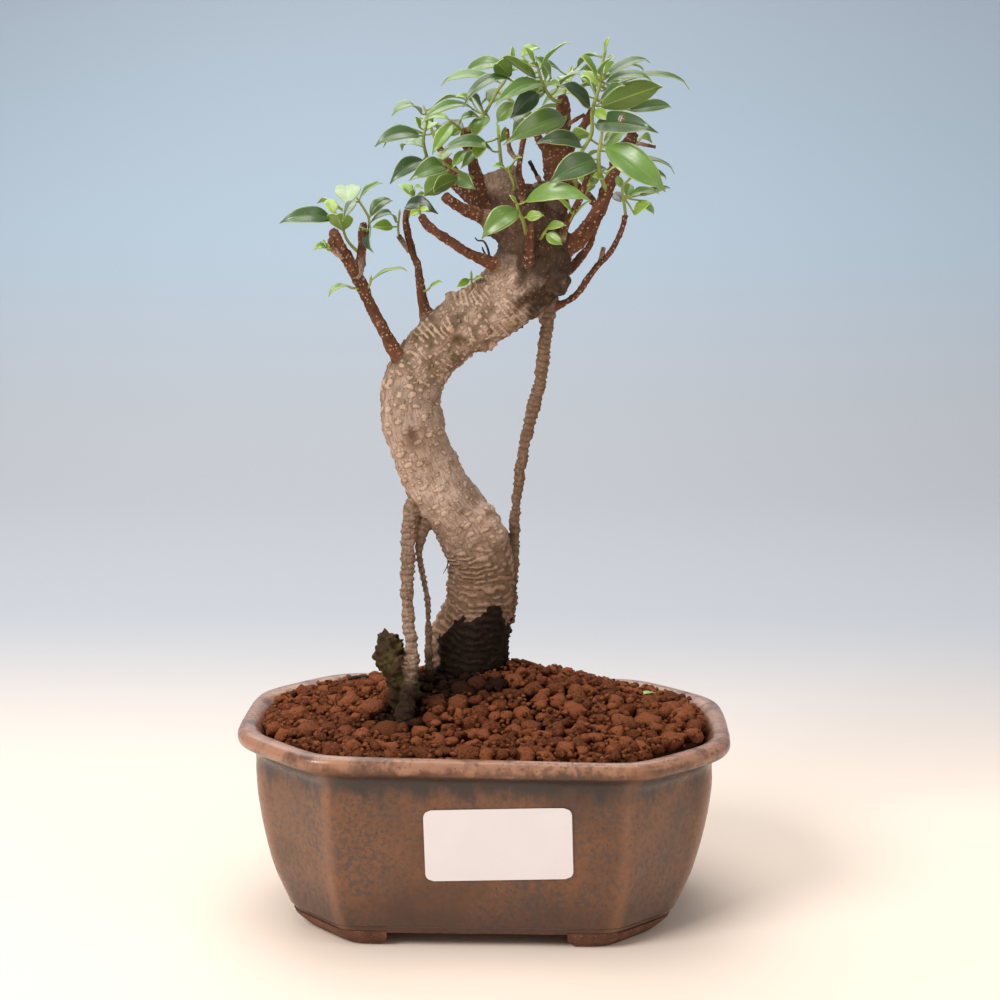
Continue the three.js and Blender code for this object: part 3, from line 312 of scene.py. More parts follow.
PATCHES, patch_in, patch_out = new_group("soft_patches", {"Size": 10.0, "Amount": 0.5, "Softness": 0.15})
patch_scale = maths(PATCHES, "DIVIDE", 1 / MM, patch_in.outputs["Size"])
patch_noise = add(
    PATCHES, "TexNoise", Vector=patch_in.outputs["Vector"], Scale=patch_scale, Detail=4.0, Roughness=0.6
)
patch_middle = maths(PATCHES, "SUBTRACT", 1.0, patch_in.outputs["Amount"])
patch_low = maths(PATCHES, "SUBTRACT", patch_middle, patch_in.outputs["Softness"])
patch_high = maths(PATCHES, "ADD", patch_middle, patch_in.outputs["Softness"])
PATCHES.links.new(spread(PATCHES, patch_noise.outputs[0], patch_low, patch_high), patch_out.inputs["Mask"])

FLECKS, fleck_in, fleck_out = new_group("round_flecks", {"Spacing": 2.0, "Radius": 0.25, "Share": 0.5})
fleck_scale = maths(FLECKS, "DIVIDE", 1 / MM, fleck_in.outputs["Spacing"])
fleck_cells = add(FLECKS, "TexVoronoi", Vector=fleck_in.outputs["Vector"], Scale=fleck_scale, Randomness=1.0)
fleck_split = add(FLECKS, "SeparateColor", Color=fleck_cells.outputs["Color"])
fleck_kept = maths(FLECKS, "LESS_THAN", fleck_split.outputs[0], fleck_in.outputs["Share"])
fleck_edge = maths(FLECKS, "MULTIPLY", fleck_in.outputs["Radius"], 1.6)
fleck_disc = spread(FLECKS, fleck_cells.outputs["Distance"], fleck_edge, fleck_in.outputs["Radius"])
FLECKS.links.new(maths(FLECKS, "MULTIPLY", fleck_disc, fleck_kept), fleck_out.inputs["Mask"])


def use(tree, group, **inputs):
    made = tree.nodes.new("ShaderNodeGroup")
    made.node_tree = group
    for key, value in inputs.items():
        feed(tree, made.inputs[key], value)
    return made.outputs["Mask"]


print("shared effects:", PATCHES.name, FLECKS.name)


# %% [markdown]
# ## The floor, the backdrop and the light
#
# The tree stands in front of a smooth backdrop that runs into the floor with no corner, as a paper roll
# does in a photo studio. One plane does this: its far edge is extruded up and the fold is bevelled round.
# The light is soft and comes from above and from both sides, so that leaves and clay show their form
# without hard shadows.

# %% Floor and backdrop
FLOOR_WIDTH = 5200
BACKDROP_AT = 1500
BACKDROP_HEIGHT = 2400
BACKDROP_BEND = 700
backdrop_mesh = bmesh.new()
bmesh.ops.create_grid(backdrop_mesh, x_segments=1, y_segments=1, size=FLOOR_WIDTH / 2)
bmesh.ops.translate(backdrop_mesh, verts=backdrop_mesh.verts, vec=(0, BACKDROP_AT - FLOOR_WIDTH / 2, 0))
far_edge = max(backdrop_mesh.edges, key=lambda e: sum(v.co.y for v in e.verts))
raised = bmesh.ops.extrude_edge_only(backdrop_mesh, edges=[far_edge])["geom"]
for corner in [g for g in raised if isinstance(g, bmesh.types.BMVert)]:
    corner.co.z = BACKDROP_HEIGHT
fold = [e for e in backdrop_mesh.edges if all(abs(v.co.z) < 1 and v.co.y > BACKDROP_AT - 1 for v in e.verts)]
bmesh.ops.bevel(
    backdrop_mesh,
    geom=fold,
    offset=BACKDROP_BEND,
    offset_type="OFFSET",
    affect="EDGES",
    segments=32,
    profile=0.5,
    material=-1,
)
backdrop_mesh.transform(Matrix.Rotation(VIEW_TURN, 4, "Z") @ Matrix.Scale(MM, 4))
for face in backdrop_mesh.faces:
    face.smooth = True
backdrop = object_from(backdrop_mesh, "backdrop")

paper_roll, tree, shader = new_material("paper_roll")
place = add(tree, "TexCoord").outputs["Object"]
height = add(tree, "SeparateXYZ", Vector=place).outputs["Z"]
back = add(tree, "SeparateXYZ", Vector=place).outputs["Y"]
# The paper is painted darker and bluer towards the back of the floor and up the backdrop: painted shade
# where the light falls off.
back_share = spread(tree, back, 0.0, 0.45)
low_share = spread(tree, height, 0.0, 0.2)
high_share = spread(tree, height, 0.15, 0.75)
floor_tone = mix(tree, back_share, colour(246, 229, 214), colour(186, 190, 197))
lower = mix(tree, low_share, floor_tone, colour(180, 198, 214))
feed(tree, shader.inputs["Base Color"], mix(tree, high_share, lower, colour(172, 181, 199)))
shader.inputs["Roughness"].default_value = 0.9
shader.inputs["Specular IOR Level"].default_value = 0.1
backdrop.data.materials.append(paper_roll)
print("backdrop faces:", len(backdrop.data.polygons))

# %% Lights and the pale surroundings
LIGHTS = {
    "window": ((-750, -750, 950), 620, 13.0, (1.0, 0.98, 0.95)),
    "side": ((950, -500, 600), 700, 2.0, (1.0, 0.99, 0.97)),
    "top": ((-100, 100, 1300), 1000, 8.0, (1.0, 0.985, 0.96)),
    "behind": ((-200, 950, 1100), 1200, 7.0, (1.0, 0.99, 0.97)),
}
AIMED_AT = Vector((0, 0, 130))
for name, (at, size, watts, tint) in LIGHTS.items():
    light = bpy.data.lights.new(name, "AREA")
    light.shape = "DISK"
    light.size = size * MM
    light.energy = watts
    light.color = tint
    lamp = bpy.data.objects.new(name, light)
    bpy.context.scene.collection.objects.link(lamp)
    lamp.location = Vector(at) * MM
    lamp.rotation_euler = (AIMED_AT - Vector(at)).to_track_quat("-Z", "Y").to_euler()
world = bpy.data.worlds.new("pale_room")
world.use_nodes = True
world.node_tree.nodes["Background"].inputs["Color"].default_value = (1.0, 0.97, 0.94, 1.0)
world.node_tree.nodes["Background"].inputs["Strength"].default_value = 0.36
bpy.context.scene.world = world
bpy.context.scene.view_settings.view_transform = "Standard"
print("lights:", ", ".join(LIGHTS))

# %% [markdown]
# ## Glaze
#
# The glaze is a satin copper brown. It breaks to a lighter copper on the rolled lip, darkens to a
# blue-grey band in the shade under it and again above the foot, and is mottled with rust and slate
# patches and tiny pinholes. All of this is laid over the pot by height and by the shared patches, so it
# needs no image. The feet stand bare of glaze.

# %% Glaze and bare clay
def make_glaze():
    glaze, tree, shader = new_material("copper_brown_glaze")
    place = add(tree, "TexCoord").outputs["Object"]
    height = add(tree, "SeparateXYZ", Vector=place).outputs["Z"]
    hanging = add(tree, "Mapping", Vector=place, Scale=(1.0, 1.0, 0.3)).outputs[0]
    drips = use(tree, PATCHES, Vector=hanging, Size=7.0, Amount=0.5, Softness=0.3)
    wavy = maths(tree, "MULTIPLY_ADD", drips, 0.005)
    wavy.node.inputs[2].default_value = -0.0025
    level = maths(tree, "ADD", height, wavy)
    rust = use(tree, PATCHES, Vector=place, Size=30.0, Amount=0.52, Softness=0.14)
    slate = use(tree, PATCHES, Vector=place, Size=9.0, Amount=0.42, Softness=0.1)
    fine = use(tree, PATCHES, Vector=place, Size=1.6, Amount=0.45, Softness=0.12)
    base = mix(tree, rust, colour(90, 56, 34), colour(117, 75, 46))
    base = cover(tree, slate, 0.4, base, colour(80, 60, 51))
    base = cover(tree, fine, 0.4, base, colour(70, 46, 35))
    cloud = use(tree, PATCHES, Vector=place, Size=24.0, Amount=0.5, Softness=0.25)
    crowding = spread(tree, cloud, 0.0, 1.0, 0.32, 0.5)
    specks = use(tree, PATCHES, Vector=place, Size=1.5, Amount=crowding, Softness=0.06)
    base = cover(tree, specks, 0.65, base, colour(66, 58, 58))
    band = spread(tree, maths(tree, "ADD", level, wavy), 0.0455, 0.0525)
    band = maths(tree, "MULTIPLY", band, spread(tree, height, 0.0548, 0.0566, 1.0, 0.0))
    base = cover(tree, band, 0.92, base, colour(50, 42, 41))
    low = spread(tree, level, 0.006, 0.024, 1.0, 0.0)
    base = cover(tree, low, 0.62, base, colour(62, 44, 37))
    # A lighter copper along the corner ridges: a painted highlight on the edges.
    ridge = attribute(tree, "ridge")
    base = cover(tree, ridge, 0.4, base, colour(158, 110, 80))
    lip = spread(tree, level, 0.0565, 0.0595)
    lip_colour = mix(tree, slate, colour(166, 121, 96), colour(106, 71, 55))
    lip_colour = cover(tree, specks, 0.55, lip_colour, colour(84, 56, 44))
    base = cover(tree, lip, 0.9, base, lip_colour)
    pinholes = use(tree, FLECKS, Vector=place, Spacing=1.5, Radius=0.12, Share=0.3)
    base = cover(tree, pinholes, 0.7, base, colour(46, 34, 30))
    feed(tree, shader.inputs["Base Color"], base)
    feed(tree, shader.inputs["Roughness"], spread(tree, fine, 0.0, 1.0, 0.28, 0.44))
    relief = add(tree, "TexNoise", Vector=place, Scale=420.0, Detail=3.0).outputs[0]
    relief = maths(tree, "SUBTRACT", relief, pinholes)
    bump(tree, shader, relief, 0.35, 0.00035)
    shader.inputs["Specular IOR Level"].default_value = 0.4
    shader.inputs["Coat Weight"].default_value = 0.25
    shader.inputs["Coat Roughness"].default_value = 0.2
    return glaze


def make_bare_clay():
    clay, tree, shader = new_material("bare_fired_clay")
    place = add(tree, "TexCoord").outputs["Object"]
    sooty = use(tree, PATCHES, Vector=place, Size=7.0, Amount=0.5, Softness=0.2)
    grog = use(tree, FLECKS, Vector=place, Spacing=0.9, Radius=0.3, Share=0.4)
    base = mix(tree, sooty, colour(112, 70, 50), colour(78, 46, 34))
    base = cover(tree, grog, 0.5, base, colour(140, 98, 74))
    feed(tree, shader.inputs["Base Color"], base)
    feed(tree, shader.inputs["Roughness"], spread(tree, sooty, 0.0, 1.0, 0.8, 0.92))
    bump(tree, shader, grog, 0.4, 0.0003)
    return clay


GLAZE = make_glaze()
BARE_CLAY = make_bare_clay()
print("made", GLAZE.name, "and", BARE_CLAY.name)

# %% [markdown]
# ## The pot
#
# The real pot was pressed in a mould: eight sides with soft corners, a rolled lip, a low band and four
# feet. A lathe makes only round pots, but a lathe's order is still right. So a profile of the wall is
# spun to a round bowl first, and then every ring is pushed out to the eight-sided plan. The corner faces
# are a little hollow, the lip is rounder than the body, and nothing is quite true, as on hand-finished
# clay.

# %% The pot's plan
POT_LENGTH = 157
POT_DEPTH = 108
CORNER_CUT = 26
ENDS_TAPER = 12.5
TAPER_TOP = 52
CORNER_FADE = 0.85
CORNER_SOFTNESS = 44
LIP_SOFTNESS = 22
FRONT_LEFT_CUT = 1.5
END_PRESSED = 1.5
FACET_HOLLOW = 1.3
RIDGE_WIDTH = 0.028


def plan(inset, z):
    taper = ENDS_TAPER * max(0.0, 1 - z / TAPER_TOP) ** 2
    a = POT_LENGTH / 2 - inset - taper
    b = POT_DEPTH / 2 - inset
    return a, b, a + b - CORNER_CUT + CORNER_FADE * taper


def outline(turn, inset, z, hollow=0.0):
    a, b, cut = plan(inset, z)
    x = a * math.cos(turn)
    y = b * math.sin(turn)
    if x < 0 and y < 0:
        cut -= FRONT_LEFT_CUT
    softness = CORNER_SOFTNESS + (LIP_SOFTNESS - CORNER_SOFTNESS) * smoothstep(z, 48, 57)
    facet = ((abs(x) + abs(y)) / cut) ** softness
    total = (abs(x) / a) ** softness + (abs(y) / b) ** softness + facet
    reach = total ** (-1 / softness) - hollow * (facet / total) ** 2 / a
    x *= reach
    return x + END_PRESSED * smoothstep(-x, 40, 78), y * reach


def spin_profile(bm, profile, steps):
    chain = [bm.verts.new((r, 0, z)) for r, z in profile]
    edges = [bm.edges.new(pair) for pair in zip(chain, chain[1:])]
    bmesh.ops.spin(
        bm, geom=chain + edges, cent=(0, 0, 0), axis=(0, 0, 1), angle=math.tau, steps=steps, use_merge=True
    )
    bmesh.ops.remove_doubles(bm, verts=bm.verts, dist=1e-3)


def corner_ridge(x, y, inset, z):
    a, b, cut = plan(inset, z)
    beside = (abs(x) + abs(y)) / cut - max(abs(x) / a, abs(y) / b)
    return math.exp(-((beside / RIDGE_WIDTH) ** 2))


def smooth_rows(rows, steps):
    route = straight_route([(inset, 0, z) for inset, z in rows])
    count = (len(rows) - 1) * steps
    return [(p.x, p.z) for p in (route.at(i / count) for i in range(count + 1))]


# %% The pot's wall, spun and pushed out
WALL_ROWS = [
    (10.2, 4.6), (9.2, 4.65), (8.8, 5.2), (8.6, 6.3), (8.3, 6.8), (7.95, 7.2), (7.8, 8.0), (7.6, 9.6),
    (6.4, 17.0), (6.0, 27.0), (5.6, 40.0), (5.6, 47.0), (5.7, 51.5), (4.9, 53.9), (3.5, 55.4), (1.8, 56.5),
    (0.5, 57.6), (0.0, 59.0), (0.2, 60.5), (1.1, 61.6), (2.4, 61.98), (3.8, 61.8), (5.0, 61.2), (6.1, 60.1),
    (7.0, 58.4), (7.9, 56.4), (9.0, 53.2), (9.6, 50.0), (10.0, 28.0), (11.2, 20.0), (13.5, 15.0),
    (16.5, 11.4), (22.0, 11.0),
]
POT_STEPS = 232
LATHE_RADIUS = 100
FLOOR_TOP = 11
DRAIN_RADIUS = 5
DRAIN_PLACES = (-30, 30)
RIM_DROOP = 1.6

pot_mesh = bmesh.new()
profile = [(0.0, 4.6)]
profile += [(LATHE_RADIUS - inset, z) for inset, z in smooth_rows(WALL_ROWS, 3)]
profile += [(0.0, FLOOR_TOP)]
spin_profile(pot_mesh, profile, POT_STEPS)
# The ridge layer marks the corner ridges, where the glaze gets a painted highlight.
ridge_layer = pot_mesh.verts.layers.float.new("ridge")
for v in pot_mesh.verts:
    r = math.hypot(v.co.x, v.co.y)
    if r < 1:
        continue
    z = v.co.z
    body = smoothstep(z, 8, 16) * (1 - smoothstep(z, 50, 55))
    x, y = outline(math.atan2(v.co.y, v.co.x), LATHE_RADIUS - r, z, FACET_HOLLOW * body)
    v[ridge_layer] = corner_ridge(x, y, LATHE_RADIUS - r, z)
    pressed = 0.16 * ripple((x, y, z), 22) + 0.07 * ripple((x, y, z), 6, 4) - 0.16
    droop = 0.25 * ripple((x, y, 0), 48, 7) - 0.1 - RIM_DROOP * smoothstep(x, -60, 75)
    sag = droop * smoothstep(z, 30, 58)
    v.co = (x + pressed * x / 60, y + pressed * y / 40, min(z + sag, 62))
bmesh.ops.recalc_face_normals(pot_mesh, faces=pot_mesh.faces)
pot = piece_from(pot_mesh, "pot_body", [GLAZE, BARE_CLAY], ["pot"])
for at in DRAIN_PLACES:
    cutter_mesh = bmesh.new()
    bmesh.ops.create_cone(
        cutter_mesh,
        cap_ends=True,
        segments=40,
        radius1=DRAIN_RADIUS,
        radius2=DRAIN_RADIUS,
        depth=3 * FLOOR_TOP,
    )
    bmesh.ops.translate(cutter_mesh, verts=cutter_mesh.verts, vec=(at, 0, FLOOR_TOP))
    cutter_mesh.transform(Matrix.Scale(MM, 4))
    cutter = object_from(cutter_mesh, "cutter")
    apply_modifier(pot, "BOOLEAN", operation="DIFFERENCE", solver="EXACT", object=cutter)
    bpy.data.objects.remove(cutter)
for face in pot.data.polygons:
    inside = face.normal.z > 0.5 and face.center.z < 0.02
    face.material_index = 1 if face.center.z < 0.0052 or inside else 0
print("pot with", len(DRAIN_PLACES), "drain holes, faces:", len(pot.data.polygons))

# %% [markdown]
# ## The four feet
#
# Each foot is a low pad of clay left under a corner, with its ends rounded up into the base. It could be
# cut from a block, but it has to follow the eight-sided plan, so the same spinning makes a low disc of
# that plan. A few cuts each way, each more tilted than the last, keep its corner and curve its inner ends
# up into the base.

# %% Feet
FOOT_ROWS = [(12.2, 0.0), (11.6, 0.2), (11.0, 1.0), (9.5, 3.0), (8.8, 4.2), (8.7, 5.2)]
FOOT_START = (27.5, 16)
FOOT_CURVE = (4.2, 3.8)
CURVE_CUTS = (0, 20, 40, 60, 78)
FOOT_TOP = 5.2
FOOT_STEPS = 160

feet_mesh = bmesh.new()
for sx in (-1, 1):
    for sy in (-1, 1):
        foot = bmesh.new()
        rim = [(0.0, 0.0)] + [(LATHE_RADIUS - inset, z) for inset, z in FOOT_ROWS] + [(0.0, FOOT_TOP)]
        spin_profile(foot, rim, FOOT_STEPS)
        for v in foot.verts:
            r = math.hypot(v.co.x, v.co.y)
            if r > 1:
                x, y = outline(math.atan2(v.co.y, v.co.x), LATHE_RADIUS - r, v.co.z)
                v.co = (x, y, v.co.z)
        for outward, start in ((Vector((sx, 0, 0)), FOOT_START[0]), (Vector((0, sy, 0)), FOOT_START[1])):
            for angle in map(math.radians, CURVE_CUTS):
                along = start + FOOT_CURVE[0] * (1 - math.cos(angle))
                point = outward * along + Vector((0, 0, FOOT_CURVE[1] * (1 - math.sin(angle))))
                tilt = outward * (math.cos(angle) / FOOT_CURVE[0])
                tilt += Vector((0, 0, math.sin(angle) / FOOT_CURVE[1]))
                geometry = foot.verts[:] + foot.edges[:] + foot.faces[:]
                opened = bmesh.ops.bisect_plane(
                    foot, geom=geometry, plane_co=point, plane_no=tilt, clear_inner=True, dist=1e-4
                )["geom_cut"]
                open_edges = [g for g in opened if isinstance(g, bmesh.types.BMEdge)]
                bmesh.ops.holes_fill(foot, edges=open_edges, sides=0)
        bmesh.ops.recalc_face_normals(foot, faces=foot.faces)
        kept = bpy.data.meshes.new("foot")
        foot.to_mesh(kept)
        foot.free()
        feet_mesh.from_mesh(kept)
        bpy.data.meshes.remove(kept)
feet = piece_from(feet_mesh, "pot_feet", [BARE_CLAY], ["pot"], smooth=False)
feet.data.set_sharp_from_angle(angle=math.radians(40))
for face in feet.data.polygons:
    face.use_smooth = True

# %% [markdown]
# ## The label
#
# A plain white sticker is pressed on the front of the pot. It is thin, has rounded corners, and bends
# with the wall. A box would stand off the curve, so a flat grid is laid on the front face point by point
# and then given its thickness. It was pressed on a little crooked, its right end higher, and its upper
# right corner has begun to lift. The sticker stays blank.

# %% Label
LABEL_LENGTH = 44.5
LABEL_HEIGHT = 22.3
LABEL_CORNER = 2.4
LABEL_MIDDLE = (6.7, 34.2)
LABEL_TILT = math.tan(math.radians(1.7))
LABEL_THICKNESS = 0.22
LABEL_STAND = 0.34
FACE_ROWS = [(8.6, 6.6), (7.9, 7.4), (7.6, 9.5), (6.4, 17), (6, 27), (5.6, 40), (5.7, 52.5)]


def body_inset(z):
    for (low, low_z), (high, high_z) in zip(FACE_ROWS, FACE_ROWS[1:]):
        if z <= high_z:
            return low + (high - low) * (z - low_z) / (high_z - low_z)
    return FACE_ROWS[-1][0]


def front_face(x, z):
    low = 0.0
    high = math.pi
    for _ in range(30):
        middle = (low + high) / 2
        if outline(middle, body_inset(z), z)[0] > x:
            low = middle
        else:
            high = middle
    return outline(low, body_inset(z), z)[1]


def make_paper():
    paper, tree, shader = new_material("white_sticker_paper")
    place = add(tree, "TexCoord").outputs["Object"]
    fibre = add(tree, "TexNoise", Vector=place, Scale=2600.0, Detail=4.0).outputs[0]
    cloud = use(tree, PATCHES, Vector=place, Size=14.0, Amount=0.5, Softness=0.3)
    base = mix(tree, maths(tree, "MULTIPLY", cloud, 0.5), colour(232, 226, 228), colour(225, 218, 219))
    base = cover(tree, fibre, 0.1, base, colour(200, 190, 186))
    feed(tree, shader.inputs["Base Color"], base)
    feed(tree, shader.inputs["Roughness"], spread(tree, fibre, 0.2, 0.8, 0.5, 0.62))
    bump(tree, shader, fibre, 0.12, 0.00005)
    return paper


label_mesh = bmesh.new()
bmesh.ops.create_grid(label_mesh, x_segments=48, y_segments=36, size=0.5)
for v in label_mesh.verts:
    up = v.co.y * LABEL_HEIGHT
    past = max(0.0, abs(up) - (LABEL_HEIGHT / 2 - LABEL_CORNER))
    length = LABEL_LENGTH - 2 * (LABEL_CORNER - math.sqrt(max(0.0, LABEL_CORNER**2 - past**2)))
    x = LABEL_MIDDLE[0] + v.co.x * length - LABEL_TILT * up
    z = LABEL_MIDDLE[1] + up + LABEL_TILT * v.co.x * length
    lift = 0.25 * smoothstep(v.co.x + v.co.y, 0.75, 1.0)
    v.co = (x, -front_face(x, z) - LABEL_STAND - lift, z)
bmesh.ops.recalc_face_normals(label_mesh, faces=label_mesh.faces)
if sum(f.normal.y for f in label_mesh.faces) > 0:
    bmesh.ops.reverse_faces(label_mesh, faces=label_mesh.faces)
bmesh.ops.solidify(label_mesh, geom=label_mesh.faces[:], thickness=LABEL_THICKNESS)
bmesh.ops.recalc_face_normals(label_mesh, faces=label_mesh.faces)
label = piece_from(label_mesh, "sticker", [make_paper()], ["label"])
label.data.set_sharp_from_angle(angle=math.radians(35))


# %% [markdown]
# ## The soil's height and where the wood stands
#
# The soil is heaped towards the trunk and falls away to the rim. The same formula as in the solid gives
# its height anywhere in the pot. The wood's routes are typed next, because the granules have to lie round
# the trunk and the roots, not inside them. Each point is across, up, depth behind the middle plane, and
# radius.

# %% Soil height
SOIL_EDGE = 59.5
SOIL_MOUND = 15
SOIL_INSET = 7.2
MOUND_MIDDLE = (2, 9)
MOUND_REACH = (52, 34)


def soil_height(x, y):
    dx = (x - MOUND_MIDDLE[0]) / MOUND_REACH[0]
    dy = (y - MOUND_MIDDLE[1]) / MOUND_REACH[1]
    back = 1.6 * smoothstep(x + y, 40, 90)
    return SOIL_EDGE - back + SOIL_MOUND * math.exp(-1.1 * (dx * dx + dy * dy))


# %% Routes of the trunk, the roots and the limbs
TRUNK = [
    (-4, 48, 16, 15), (-4.4, 66, 16, 15), (-4.6, 82, 15, 13.4), (-1, 98, 13, 11),
    (-0.4, 113, 11, 10.5), (-5.8, 124, 8, 9.9), (-12.4, 133, 6, 9.7), (-19, 146, 5, 9),
    (-22, 155.4, 5, 9.4), (-22.9, 163.2, 6, 8.7), (-20.6, 171, 8, 9), (-14.8, 178.6, 9, 8.9),
    (-6.6, 186, 9, 9.3), (1.8, 190.4, 8, 10), (9.2, 196.4, 7, 11.3), (15.8, 204.8, 6, 11.7),
    (16, 213, 6, 11.6), (12, 220, 6, 9.5), (7.5, 227, 7, 6.5), (5.5, 233.8, 8, 5),
]
LUMPS = [
    (-24.5, 151.5, -3, 3.6), (-9.8, 186, 0.5, 3.2), (23.5, 199.5, -3, 3.8), (-28.6, 164.5, 4.5, 3.2),
    (4.4, 119.6, 2.8, 3.9), (2.6, 123.4, 2.8, 3.9), (0.6, 127, 2.8, 3.8), (0.8, 181.6, 6, 3.6),
    (-9.9, 193.2, 6, 2.7), (-9.9, 194.8, 6, 2.3),
]
